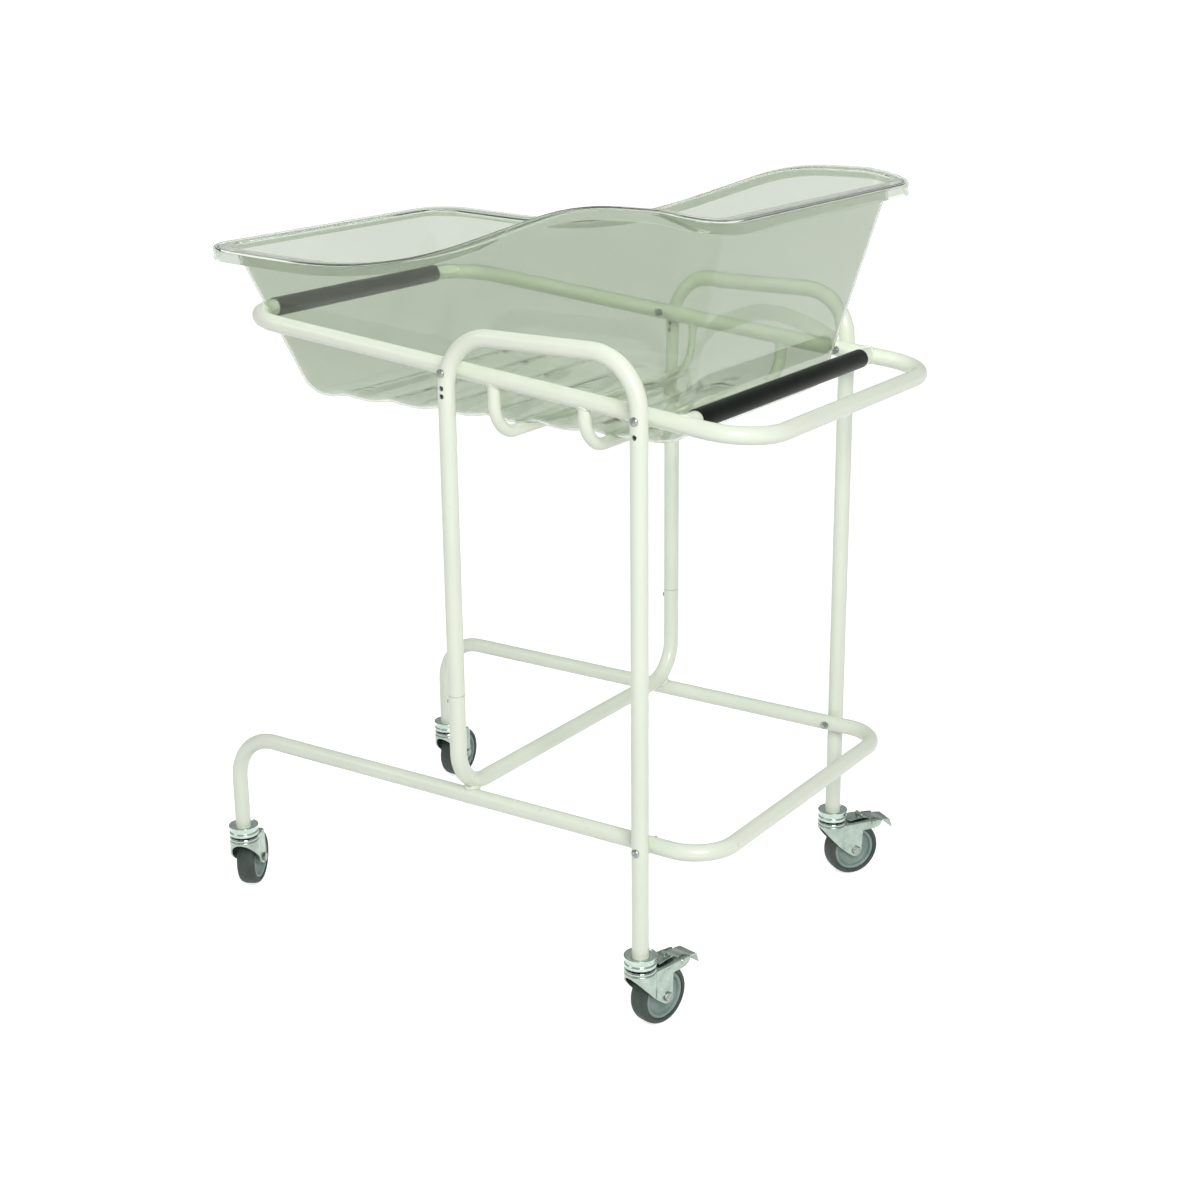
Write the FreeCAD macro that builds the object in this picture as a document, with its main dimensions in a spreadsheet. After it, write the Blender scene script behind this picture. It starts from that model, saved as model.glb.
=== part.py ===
import FreeCAD, Part
import math
import os
import re
import Sketcher

# Hospital bassinet: a clear wavy-rimmed tub carried by a white tube frame on four casters.
# Millimetres. +X is the head end and +Z is up. The origin is on the floor below the overall middle.

SIZES = {
    # overall middle in plan with the casters as they stand, from the middle of the hoops
    "middle_x": -153.4,
    "middle_y": 31.6,
    # tube frame
    "tube_dia": 22.0,
    "tube_wall": 1.5,
    "frame_width": 530.0,
    "leg_spacing": 280.0,
    "hoop_height": 870.0,
    "hoop_bend": 66.0,
    "tube_gap": 0.2,
    "weld_gap": 0.1,
    "joint_height": 400.0,
    "spigot_length": 80.0,
    "spigot_gap": 0.2,
    "spigot_wall": 2.0,
    "spigot_screw_drop": 11.0,
    "cross_bend": 55.0,
    # base tube
    "rail_height": 250.0,
    "foot_reach": 559.0,
    "head_reach": 228.0,
    "base_corner": 56.0,
    "post_bend": 70.0,
    # tilted loop that carries the tub
    "loop_height": 809.0,
    "loop_tilt": 5.5,
    "loop_foot": 504.0,
    "loop_head": 284.0,
    "loop_corner": 68.0,
    "head_bar": 186.0,
    "sleeve_wall": 1.6,
    "sleeve_gap": 0.1,
    "sleeve_end": 18.0,
    # cradles under the loop
    "cradle_dia": 16.0,
    "cradle_foot": -84.0,
    "cradle_head": 49.0,
    "cradle_bend": 42.0,
    # fasteners
    "bolt_dia": 6.0,
    "bolt_gap": 0.3,
    "bolt_head_dia": 11.0,
    "bolt_head": 3.2,
    "slot_width": 1.6,
    "slot_depth": 1.4,
    "nut_width": 10.0,
    "nut_height": 5.0,
    "screw_dia": 4.0,
    "screw_head_dia": 7.0,
    "screw_head": 2.2,
    "spare_drop": 19.0,
    "spare_pitch": 10.0,
    # tub
    "tub_floor": 752.0,
    "tub_wall": 3.0,
    "tub_head": 144.0,
    "tub_half": 203.0,
    "tub_corner": 36.0,
    "tub_edge": 22.0,
    "foot_slope": 27.0,
    "head_slope": 15.0,
    "side_slope": 8.0,
    "mouth_height": 300.0,
    "rim_foot": 554.0,
    "rim_head": 245.0,
    "rim_half": 266.0,
    "rim_corner": 62.0,
    "rim_lip": 15.0,
    "low_rim": 947.0,
    "dip_rim": 933.0,
    "high_rim": 1037.0,
    "head_rim": 1024.0,
    "dip_at": 248.0,
    "rise_at": 51.0,
    "fall_at": 168.0,
    "dip_bend": 850.0,
    "rise_bend": 560.0,
    "fall_bend": 140.0,
    "seat_gap": 0.3,
    # casters
    "caster_height": 100.0,
    "trail": 32.0,
    "wheel_dia": 80.0,
    "wheel_width": 27.0,
    "hub_dia": 63.0,
    "hub_width": 24.0,
    "web_width": 9.0,
    "spacer_dia": 12.0,
    "running_gap": 0.08,
    "side_gap": 1.5,
    "fork_plate": 2.5,
    "crown_dia": 43.0,
    "crown_drop": 15.0,
    "cheek_foot": 9.0,
    "cup_rise": 6.0,
    "race_rise": 4.0,
    "ball_dia": 4.8,
    "ball_ring": 31.0,
    "ball_count": 14,
    "ball_gap": 0.15,
    "kingpin_dia": 10.0,
    "rivet_dia": 16.0,
    "rivet_head": 2.5,
    "plug_gap": 0.3,
    "plug_length": 42.0,
    "axle_dia": 8.0,
    "axle_gap": 0.1,
    "axle_head_dia": 13.0,
    "axle_head": 3.5,
    "arm_reach": 75.0,
    "arm_under": 70.5,
    "bridge_reach": 52.0,
    "pedal_pivot": 60.0,
    "pedal_height": 80.0,
    "pedal_reach": 94.0,
    "pedal_width": 24.0,
    "pedal_tip_width": 29.0,
    "pedal_plate": 2.0,
    "tip_rise": 1.5,
    "tip_fall": 1.8,
    "tip_lip": 13.0,
    "pedal_boss": 11.0,
    "pedal_pin": 4.0,
    "nose_length": 8.3,
    "nose_width": 18.0,
}

# Swivel directions of the four casters at rest, in degrees from +X.
SWIVEL = {"near_head": 78.0, "far_head": 56.0, "near_foot": 116.0, "far_foot": 96.0}
for corner, angle in SWIVEL.items():
    SIZES["swivel_" + corner] = angle

# Places worked out from the driving sizes.
HOOP_HALF = "(frame_width / 2)"
RAIL_HALF = "(frame_width / 2 - tube_dia - tube_gap)"
LEG_X = "(leg_spacing / 2)"
RAIL_TOUCH = "(cross_bend - tube_dia - tube_gap)"
CROSS_HEIGHT = f"(rail_height - cross_bend + sqrt((cross_bend + tube_dia)^2 - {RAIL_TOUCH}^2) + tube_gap)"
CRADLE_HEIGHT = "(tub_floor - cradle_dia / 2 - seat_gap)"
TILT_RISE = "tan(loop_tilt)"
WHEEL_R = "(wheel_dia / 2)"
CHEEK_IN = "(wheel_width / 2 + side_gap)"
CHEEK_OUT = "(wheel_width / 2 + side_gap + fork_plate)"
CROWN_TOP = "(caster_height - crown_drop)"
CROWN_UNDER = "(caster_height - crown_drop - fork_plate)"
BALL_Z = "(caster_height - crown_drop + race_rise + ball_dia / 2 + ball_gap)"
RACE_TOP = "(caster_height - crown_drop + race_rise)"
CUP_UNDER = "(caster_height - crown_drop + race_rise + ball_dia + 2 * ball_gap)"

SLEEVE_RADIUS = "(tube_dia / 2 + sleeve_gap + sleeve_wall)"
SLEEVE_RISE = "(loop_height + loop_foot * sin(loop_tilt) - tub_floor)"
TUB_FOOT = (
    f"(loop_foot * cos(loop_tilt) - ({SLEEVE_RADIUS} + seat_gap) / cos(foot_slope)"
    f" - {SLEEVE_RISE} * tan(foot_slope))")

# The tub's rounded lower edge, as (height, set back) in shares of the edge's size.
TUB_EDGE_BANDS = ((0, 0.85), (0.14, 0.42), (0.45, 0.1), (1, 0))

doc = FreeCAD.newDocument("hospital_bassinet")
sheet = doc.addObject("Spreadsheet::Sheet", "Sizes")
for row, (alias, size) in enumerate(SIZES.items(), start=1):
    sheet.set(f"A{row}", str(size))
    sheet.setAlias(f"A{row}", alias)
doc.recompute()
probe = doc.addObject("Part::Vertex", "Probe")
subparts = []


def cells(expression):
    """Point every size name in an expression at its cell."""
    def cell(match):
        name = match[0]
        return "Sizes." + name if name in SIZES else name
    return re.sub(r"[A-Za-z_]\w*", cell, str(expression))


def number(expression):
    """The value of an expression over the sheet."""
    return float(probe.evalExpression(cells(expression)))


def bind(target, path, expression):
    target.setExpression(path, cells(expression))


def keep(piece, x="0", y="0"):
    """Hand in a finished object as a sub-part with its own file, placed from the overall middle."""
    piece.Label = piece.Name
    bind(piece, "Placement.Base.x", f"{x} - middle_x")
    bind(piece, "Placement.Base.y", f"{y} - middle_y")
    subparts.append(piece)
    return piece


def origin_plane(body, role):
    return [plane for plane in body.Origin.OriginFeatures if plane.Role == role][0]


def new_sketch(body, role, offset=("0", "0", "0")):
    """A sketch on one of the body's own origin planes, moved by an offset in the plane's axes."""
    sketch = body.newObject("Sketcher::SketchObject", body.Name + "_sketch")
    sketch.AttachmentSupport = [(origin_plane(body, role), "")]
    sketch.MapMode = "FlatFace"
    for axis, expression in zip("xyz", offset):
        if expression != "0":
            bind(sketch, "AttachmentOffset.Base." + axis, expression)
    return sketch


def pin_point(sketch, geometry, place, x, y):
    """Tie one point of a sketch to the cells."""
    for kind, expression, axis_line in (("DistanceX", x, -2), ("DistanceY", y, -1)):
        size = number(expression)
        if abs(size) < 1e-9:
            sketch.addConstraint(Sketcher.Constraint("PointOnObject", geometry, place, axis_line))
        else:
            index = sketch.addConstraint(Sketcher.Constraint(kind, -1, 1, geometry, place, size))
            bind(sketch, f"Constraints[{index}]", expression)


def outline(sketch, points):
    """A closed straight-sided outline whose corners are tied to the cells."""
    places = [FreeCAD.Vector(number(x), number(y), 0) for x, y in points]
    lines = []
    for start, end in zip(places, places[1:] + places[:1]):
        lines.append(sketch.addGeometry(Part.LineSegment(start, end)))
    for line, following in zip(lines, lines[1:] + lines[:1]):
        sketch.addConstraint(Sketcher.Constraint("Coincident", line, 2, following, 1))
    for line, (x, y) in zip(lines, points):
        pin_point(sketch, line, 1, x, y)


def circle(sketch, diameter, x="0", y="0"):
    centre = FreeCAD.Vector(number(x), number(y), 0)
    up = FreeCAD.Vector(0, 0, 1)
    ring = sketch.addGeometry(Part.Circle(centre, up, number(diameter) / 2))
    index = sketch.addConstraint(Sketcher.Constraint("Diameter", ring, number(diameter)))
    bind(sketch, f"Constraints[{index}]", diameter)
    pin_point(sketch, ring, 3, x, y)


def bent_path(sketch, corners, closed=False):
    """Straight runs along the sketch's axes joined by quarter bends, all tied to the cells."""
    spots = [(number(x), number(y)) for x, y, bend in corners]
    count = len(corners)
    runs = []
    for index in range(count if closed else count - 1):
        following = (index + 1) % count
        ends = []
        for here, there in ((index, following), (following, index)):
            x, y, bend = corners[here]
            along_x = spots[there][0] - spots[here][0]
            along_y = spots[there][1] - spots[here][1]
            if abs(along_x) > abs(along_y):
                ends.append((f"{x} + {math.copysign(1, along_x)} * {bend}", y))
            else:
                ends.append((x, f"{y} + {math.copysign(1, along_y)} * {bend}"))
        start, end = [FreeCAD.Vector(number(x), number(y), 0) for x, y in ends]
        line = sketch.addGeometry(Part.LineSegment(start, end))
        pin_point(sketch, line, 1, *ends[0])
        pin_point(sketch, line, 2, *ends[1])
        runs.append((line, start, end))
    joints = list(zip(runs, runs[1:]))
    if closed:
        joints.append((runs[-1], runs[0]))
    for index, ((line, start, end), (next_line, next_start, next_end)) in enumerate(joints, start=1):
        bend = corners[index % count][2]
        heading = (end - start).normalize()
        turned = (next_end - next_start).normalize()
        left = heading.cross(turned).z > 0
        centre = end + turned * number(bend)
        first, last = (end, next_start) if left else (next_start, end)
        angles = [math.atan2(spot.y - centre.y, spot.x - centre.x) for spot in (first, last)]
        ring = Part.Circle(centre, FreeCAD.Vector(0, 0, 1), number(bend))
        arc = sketch.addGeometry(Part.ArcOfCircle(ring, *angles))
        first_place, last_place = (1, 2) if left else (2, 1)
        sketch.addConstraint(Sketcher.Constraint("Coincident", line, 2, arc, first_place))
        sketch.addConstraint(Sketcher.Constraint("Coincident", arc, last_place, next_line, 1))
        radius = sketch.addConstraint(Sketcher.Constraint("Radius", arc, number(bend)))
        bind(sketch, f"Constraints[{radius}]", bend)
    return ["Edge%d" % (edge + 1) for edge in range(sketch.GeometryCount)]


def bent_tube(name, path_role, path_offset, corners, ring_role, ring_offset, dia, wall, closed=False):
    """A tube swept along a bent path."""
    body = doc.addObject("PartDesign::Body", name)
    path = new_sketch(body, path_role, ("0", "0", path_offset))
    edges = bent_path(path, corners, closed)
    pipe = None
    for kind, size in (("Additive", dia), ("Subtractive", f"{dia} - 2 * {wall}")):
        ring = new_sketch(body, ring_role, ring_offset)
        circle(ring, size)
        pipe = body.newObject(f"PartDesign::{kind}Pipe", name + "_pipe")
        pipe.Profile = ring
        pipe.Spine = (path, edges)
        body.Tip = pipe
    path.Visibility = False
    return body


def revolved(name, points, across=None):
    """A turned piece from an outline of radius and height about its own Z axis.

    With a place (x, z) given, the outline is (along, radius) about a line through it along Y.
    """
    body = doc.addObject("PartDesign::Body", name)
    if across is None:
        sketch = new_sketch(body, "XZ_Plane")
        axis = "V_Axis"
    else:
        sketch = new_sketch(body, "YZ_Plane", ("0", across[1], across[0]))
        axis = "H_Axis"
    outline(sketch, points)
    turned = body.newObject("PartDesign::Revolution", name + "_revolution")
    turned.Profile = sketch
    turned.ReferenceAxis = (sketch, [axis])
    turned.Angle = 360
    body.Tip = turned
    return body


def padded(name, role, points, length, offset=("0", "0", "0"), symmetric=True):
    """A straight-sided plate or block."""
    body = doc.addObject("PartDesign::Body", name)
    sketch = new_sketch(body, role, offset)
    outline(sketch, points)
    pad = body.newObject("PartDesign::Pad", name + "_pad")
    pad.Profile = sketch
    bind(pad, "Length", length)
    if symmetric:
        pad.SideType = "Symmetric"
    body.Tip = pad
    return body


def ring_pad(name, role, outer, inner, length, offset=("0", "0", "0")):
    """A straight tube, centred on the sketch plane."""
    body = doc.addObject("PartDesign::Body", name)
    sketch = new_sketch(body, role, offset)
    circle(sketch, outer)
    circle(sketch, inner)
    pad = body.newObject("PartDesign::Pad", name + "_pad")
    pad.Profile = sketch
    bind(pad, "Length", length)
    pad.SideType = "Symmetric"
    body.Tip = pad
    return body


def rod(name, axis, dia, length, x, y, z):
    """A round bar centred on a point, along one axis."""
    bar = doc.addObject("Part::Cylinder", name)
    turn = {
        "X": FreeCAD.Rotation(FreeCAD.Vector(0, 1, 0), 90),
        "Y": FreeCAD.Rotation(FreeCAD.Vector(1, 0, 0), -90),
        "Z": FreeCAD.Rotation(),
    }[axis]
    bar.Placement = FreeCAD.Placement(FreeCAD.Vector(), turn)
    bind(bar, "Radius", f"({dia}) / 2")
    bind(bar, "Height", length)
    for letter, place in zip("XYZ", (x, y, z)):
        back = f" - ({length}) / 2" if letter == axis else ""
        bind(bar, "Placement.Base." + letter.lower(), f"({place}){back}")
    return bar


def block(name, size_x, size_y, size_z, x, y, z):
    """A box centred on a point."""
    box = doc.addObject("Part::Box", name)
    sides = (("Length", "x", size_x, x), ("Width", "y", size_y, y), ("Height", "z", size_z, z))
    for side, axis, size, place in sides:
        bind(box, side, size)
        bind(box, "Placement.Base." + axis, f"({place}) - ({size}) / 2")
    return box


def fused(name, pieces):
    fuse = doc.addObject("Part::MultiFuse", name)
    fuse.Shapes = pieces
    fuse.Refine = True
    return fuse


def less(name, base, tools):
    """A piece with one or more others taken out of it."""
    cut = doc.addObject("Part::Cut", name)
    cut.Base = base
    cut.Tool = tools[0] if len(tools) == 1 else fused(name + "_tools", tools)
    return cut


def common(name, first, second):
    both = doc.addObject("Part::Common", name)
    both.Base = first
    both.Tool = second
    return both


def grouped(name, pieces):
    """Equal fasteners as one group of separate solids."""
    group = doc.addObject("Part::Compound", name)
    group.Links = pieces
    return keep(group)


def on_loop(x):
    """The height of the tilted loop's tube axis at a place along the frame."""
    return f"(loop_height - ({x}) * {TILT_RISE})"


def tilt_with_loop(piece):
    """Lay a piece that was made flat onto the tilted loop."""
    piece.Placement = FreeCAD.Placement(
        FreeCAD.Vector(), FreeCAD.Rotation(FreeCAD.Vector(0, 1, 0), 1.0))
    bind(piece, "Placement.Rotation.Angle", "loop_tilt")
    bind(piece, "Placement.Base.z", "loop_height")
    return piece


SIDES = (("near", -1), ("far", 1))


def make_hoops():
    """Two upright hoops. The head leg runs down to its caster, the foot leg ends at a joint."""
    for side, sign in SIDES:
        corners = [
            (f"-{LEG_X}", "joint_height", "0"),
            (f"-{LEG_X}", "hoop_height", "hoop_bend"),
            (LEG_X, "hoop_height", "hoop_bend"),
            (LEG_X, "caster_height", "0"),
        ]
        tube = bent_tube(
            side + "_hoop_tube", "XZ_Plane", f"{-sign} * {HOOP_HALF}", corners,
            "XY_Plane", (f"-{LEG_X}", f"{sign} * {HOOP_HALF}", "joint_height"), "tube_dia", "tube_wall")
        holes = []
        drops = [
            (f"-{LEG_X}", "0"), (f"-{LEG_X}", "spare_drop"), (f"-{LEG_X}", "spare_drop + spare_pitch"),
            (LEG_X, "0"), (LEG_X, "spare_drop"),
        ]
        for index, (x, drop) in enumerate(drops):
            holes.append(rod(
                f"{side}_loop_hole_{index}", "Y", "bolt_dia + 2 * bolt_gap", "2 * tube_dia",
                x, f"{sign} * {HOOP_HALF}", f"{on_loop(x)} - ({drop})"))
        holes.append(rod(
            side + "_base_hole", "Y", "bolt_dia + 2 * bolt_gap", "2 * tube_dia",
            LEG_X, f"{sign} * {HOOP_HALF}", "rail_height"))
        keep(less(side + "_hoop", tube, holes))


def make_cross_tube():
    """The lower cross tube, which turns up at both ends to meet the foot legs of the hoops."""
    corners = [
        (f"-{HOOP_HALF}", "joint_height", "0"),
        (f"-{HOOP_HALF}", CROSS_HEIGHT, "cross_bend"),
        (HOOP_HALF, CROSS_HEIGHT, "cross_bend"),
        (HOOP_HALF, "joint_height", "0"),
    ]
    tube = bent_tube(
        "cross_tube_bend", "YZ_Plane", f"-{LEG_X}", corners,
        "XY_Plane", (f"-{LEG_X}", f"-{HOOP_HALF}", "joint_height"), "tube_dia", "tube_wall")
    holes = []
    for side, sign in SIDES:
        holes.append(rod(
            side + "_spigot_hole", "X", "screw_dia + 2 * bolt_gap", "tube_dia",
            f"-{LEG_X} - tube_dia / 2", f"{sign} * {HOOP_HALF}", "joint_height - spigot_screw_drop"))
    keep(less("cross_tube", tube, holes))


def make_spigots():
    """Inner sleeves that join the foot legs to the cross tube, and their set screws."""
    sleeves = []
    screws = []
    outer = "(tube_dia - 2 * tube_wall - 2 * spigot_gap)"
    for side, sign in SIDES:
        y = f"{sign} * {HOOP_HALF}"
        outside = rod(side + "_spigot_rod", "Z", outer, "spigot_length", f"-{LEG_X}", y, "joint_height")
        bore = rod(
            side + "_spigot_bore", "Z", f"{outer} - 2 * spigot_wall", "2 * spigot_length",
            f"-{LEG_X}", y, "joint_height")
        screw_z = "joint_height - spigot_screw_drop"
        thread = rod(
            side + "_spigot_thread", "X", "screw_dia + 2 * spigot_gap", "tube_dia",
            f"-{LEG_X} - tube_dia / 2", y, screw_z)
        sleeves.append(less(side + "_spigot", outside, [bore, thread]))
        shank_length = "(tube_wall + spigot_gap + spigot_wall + bolt_head)"
        shank = rod(
            side + "_screw_shank", "X", "screw_dia", shank_length,
            f"-{LEG_X} - tube_dia / 2 + {shank_length} / 2", y, screw_z)
        head = rod(
            side + "_screw_head", "X", "screw_head_dia", "screw_head",
            f"-{LEG_X} - tube_dia / 2 - screw_head / 2", y, screw_z)
        slot = block(
            side + "_screw_slot", "slot_depth", "2 * screw_head_dia", "slot_width / 2",
            f"-{LEG_X} - tube_dia / 2 - screw_head", y, screw_z)
        screws.append(less(side + "_spigot_screw", fused(side + "_screw_body", [shank, head]), [slot]))
    grouped("spigots", sleeves)
    grouped("spigot_screws", screws)


def make_base_tube():
    """The base: two rails closed round the head end, bent down to a caster post at the foot."""
    start = "(-foot_reach + post_bend)"
    corners = [
        (start, f"-{RAIL_HALF}", "0"),
        ("head_reach", f"-{RAIL_HALF}", "base_corner"),
        ("head_reach", RAIL_HALF, "base_corner"),
        (start, RAIL_HALF, "0"),
    ]
    pieces = [bent_tube(
        "base_rails", "XY_Plane", "rail_height", corners,
        "YZ_Plane", (f"-{RAIL_HALF}", "rail_height", start), "tube_dia", "tube_wall")]
    for side, sign in SIDES:
        post = [
            ("-foot_reach", "caster_height", "0"),
            ("-foot_reach", "rail_height", "post_bend"),
            (start + " + tube_dia", "rail_height", "0"),
        ]
        pieces.append(bent_tube(
            side + "_post", "XZ_Plane", f"{-sign} * {RAIL_HALF}", post,
            "XY_Plane", ("-foot_reach", f"{sign} * {RAIL_HALF}", "caster_height"),
            "tube_dia", "tube_wall"))
    holes = []
    for side, sign in SIDES:
        holes.append(rod(
            side + "_rail_hole", "Y", "bolt_dia + 2 * bolt_gap", "2 * tube_dia",
            LEG_X, f"{sign} * {RAIL_HALF}", "rail_height"))
    keep(less("base_tube", fused("base_bend", pieces), holes))


def make_loop():
    """The tilted upper loop, its head bar and the two black sleeves that the tub leans on."""
    start = "(-loop_foot + loop_corner)"
    corners = [
        ("-loop_foot", f"-{RAIL_HALF}", "loop_corner"),
        ("loop_head", f"-{RAIL_HALF}", "loop_corner"),
        ("loop_head", RAIL_HALF, "loop_corner"),
        ("-loop_foot", RAIL_HALF, "loop_corner"),
    ]
    ring = tilt_with_loop(bent_tube(
        "loop_bend", "XY_Plane", "0", corners,
        "YZ_Plane", (f"-{RAIL_HALF}", "0", start), "tube_dia", "tube_wall", closed=True))
    holes = []
    for side, sign in SIDES:
        for end, x in (("foot", f"-{LEG_X}"), ("head", LEG_X)):
            holes.append(rod(
                f"{side}_{end}_loop_bore", "Y", "bolt_dia + 2 * bolt_gap", "2 * tube_dia",
                x, f"{sign} * {RAIL_HALF}", on_loop(x)))
    keep(less("upper_loop", ring, holes))

    bar = ring_pad(
        "head_bar_blank", "XZ_Plane", "tube_dia", "tube_dia - 2 * tube_wall", f"2 * {RAIL_HALF}",
        ("head_bar", "0", "0"))
    copes = []
    for side, sign in SIDES:
        copes.append(rod(
            side + "_bar_cope", "X", "tube_dia + 2 * weld_gap", "4 * tube_dia",
            "head_bar", f"{sign} * {RAIL_HALF}", "0"))
    keep(tilt_with_loop(less("head_bar_tube", bar, copes)))

    sleeve_bore = "(tube_dia + 2 * sleeve_gap)"
    sleeves = (
        ("foot_sleeve", "-loop_foot", f"2 * ({RAIL_HALF} - loop_corner)"),
        ("head_sleeve", "head_bar", f"2 * ({RAIL_HALF} - tube_dia / 2 - sleeve_end)"),
    )
    for name, x, length in sleeves:
        sleeve = ring_pad(
            name, "XZ_Plane", f"{sleeve_bore} + 2 * sleeve_wall", sleeve_bore, length, (x, "0", "0"))
        keep(tilt_with_loop(sleeve))


def make_cradles():
    """Two hanging hoops below the loop that the tub stands in."""
    for name, x in (("foot_cradle", "cradle_foot"), ("head_cradle", "cradle_head")):
        corners = [
            (f"-{RAIL_HALF}", on_loop(x), "0"),
            (f"-{RAIL_HALF}", CRADLE_HEIGHT, "cradle_bend"),
            (RAIL_HALF, CRADLE_HEIGHT, "cradle_bend"),
            (RAIL_HALF, on_loop(x), "0"),
        ]
        tube = bent_tube(
            name + "_bend", "YZ_Plane", x, corners,
            "XY_Plane", (x, f"-{RAIL_HALF}", on_loop(x)), "cradle_dia", "tube_wall")
        copes = []
        for side, sign in SIDES:
            cope = rod(
                f"{name}_{side}_cope", "X", "tube_dia + 2 * weld_gap", "8 * tube_dia",
                "0", f"{sign} * {RAIL_HALF}", "0")
            bind(cope, "Placement.Rotation.Angle", "90 + loop_tilt")
            bind(cope, "Placement.Base.x", f"({x}) - 4 * tube_dia * cos(loop_tilt)")
            bind(cope, "Placement.Base.z", f"{on_loop(x)} + 4 * tube_dia * sin(loop_tilt)")
            copes.append(cope)
        keep(less(name, tube, copes))


def bolt(name, x, y, z, sign, length):
    """A slotted round-head bolt along Y, its head outermost at y."""
    shank = rod(name + "_shank", "Y", "bolt_dia", length, x, f"{y} - {sign} * ({length}) / 2", z)
    head = rod(name + "_head", "Y", "bolt_head_dia", "bolt_head", x, f"{y} + {sign} * bolt_head / 2", z)
    slot = block(
        name + "_slot", "2 * bolt_head_dia", "2 * slot_depth", "slot_width",
        x, f"{y} + {sign} * bolt_head", z)
    return less(name, fused(name + "_body", [shank, head]), [slot])


def nut(name, x, y, z, sign):
    """A hexagon nut along Y, its outer face at y."""
    prism = doc.addObject("Part::Prism", name + "_hexagon")
    prism.Polygon = 6
    prism.Placement = FreeCAD.Placement(
        FreeCAD.Vector(), FreeCAD.Rotation(FreeCAD.Vector(1, 0, 0), -90))
    bind(prism, "Circumradius", "nut_width / 2 / cos(30)")
    bind(prism, "Height", "nut_height")
    bind(prism, "Placement.Base.x", x)
    bind(prism, "Placement.Base.y", f"{y} - {sign} * nut_height / 2 - nut_height / 2")
    bind(prism, "Placement.Base.z", z)
    bore = rod(
        name + "_bore", "Y", "bolt_dia", "3 * nut_height", x, f"{y} - {sign} * nut_height / 2", z)
    return less(name, prism, [bore])


def make_bolts():
    """Bolts through the hoop legs into the loop and the base rails, with nuts inside the rails."""
    spots = {
        "loop": [(end, x, on_loop(x)) for end, x in (("foot", f"-{LEG_X}"), ("head", LEG_X))],
        "base": [("head", LEG_X, "rail_height")],
    }
    reach = "(2 * tube_dia + tube_gap + nut_height + 2)"
    for kind, places in spots.items():
        bolts = []
        nuts = []
        for side, sign in SIDES:
            for end, x, z in places:
                name = f"{side}_{end}_{kind}"
                outside = f"({sign} * ({HOOP_HALF} + tube_dia / 2))"
                inside = f"({sign} * ({RAIL_HALF} - tube_dia / 2))"
                bolts.append(bolt(name + "_bolt", x, outside, z, sign, reach))
                nuts.append(nut(name + "_nut", x, inside, z, sign))
        grouped(kind + "_bolts", bolts)
        grouped(kind + "_nuts", nuts)


def rounded_plan(sketch, foot, head, half, corner):
    """A rectangle with round corners in plan, symmetrical about the X axis."""
    corners = [
        (f"-({foot})", f"-({half})", corner),
        (head, f"-({half})", corner),
        (head, half, corner),
        (f"-({foot})", half, corner),
    ]
    bent_path(sketch, corners, closed=True)


def tub_section(body, rise, inset, extra):
    """One level of the tub's plan, set back square to each sloping wall."""
    foot = f"({TUB_FOOT} + {rise} * tan(foot_slope) - ({inset}) / cos(foot_slope) - {extra})"
    head = f"(tub_head + {rise} * tan(head_slope) - ({inset}) / cos(head_slope) - {extra})"
    half = f"(tub_half + {rise} * tan(side_slope) - ({inset}) / cos(side_slope) - {extra})"
    sketch = new_sketch(body, "XY_Plane", ("0", "0", f"tub_floor + {rise}"))
    rounded_plan(sketch, foot, head, half, f"(tub_corner - ({inset}) - {extra})")
    return sketch


def tub_form(name, inset, lift, edge):
    """The tub's tapering form, drawn in by an inset on every side and lifted off its floor."""
    body = doc.addObject("PartDesign::Body", name)
    levels = []
    for rise_share, inset_share in TUB_EDGE_BANDS:
        rise = f"({lift} + {rise_share} * ({edge}))"
        extra = f"({inset_share} * ({edge}))"
        levels.append(tub_section(body, rise, inset, extra))
    levels.append(tub_section(body, "mouth_height", inset, "0"))
    loft = body.newObject("PartDesign::AdditiveLoft", name + "_loft")
    loft.Profile = levels[0]
    loft.Sections = levels[1:]
    loft.Ruled = True
    body.Tip = loft
    return body


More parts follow.
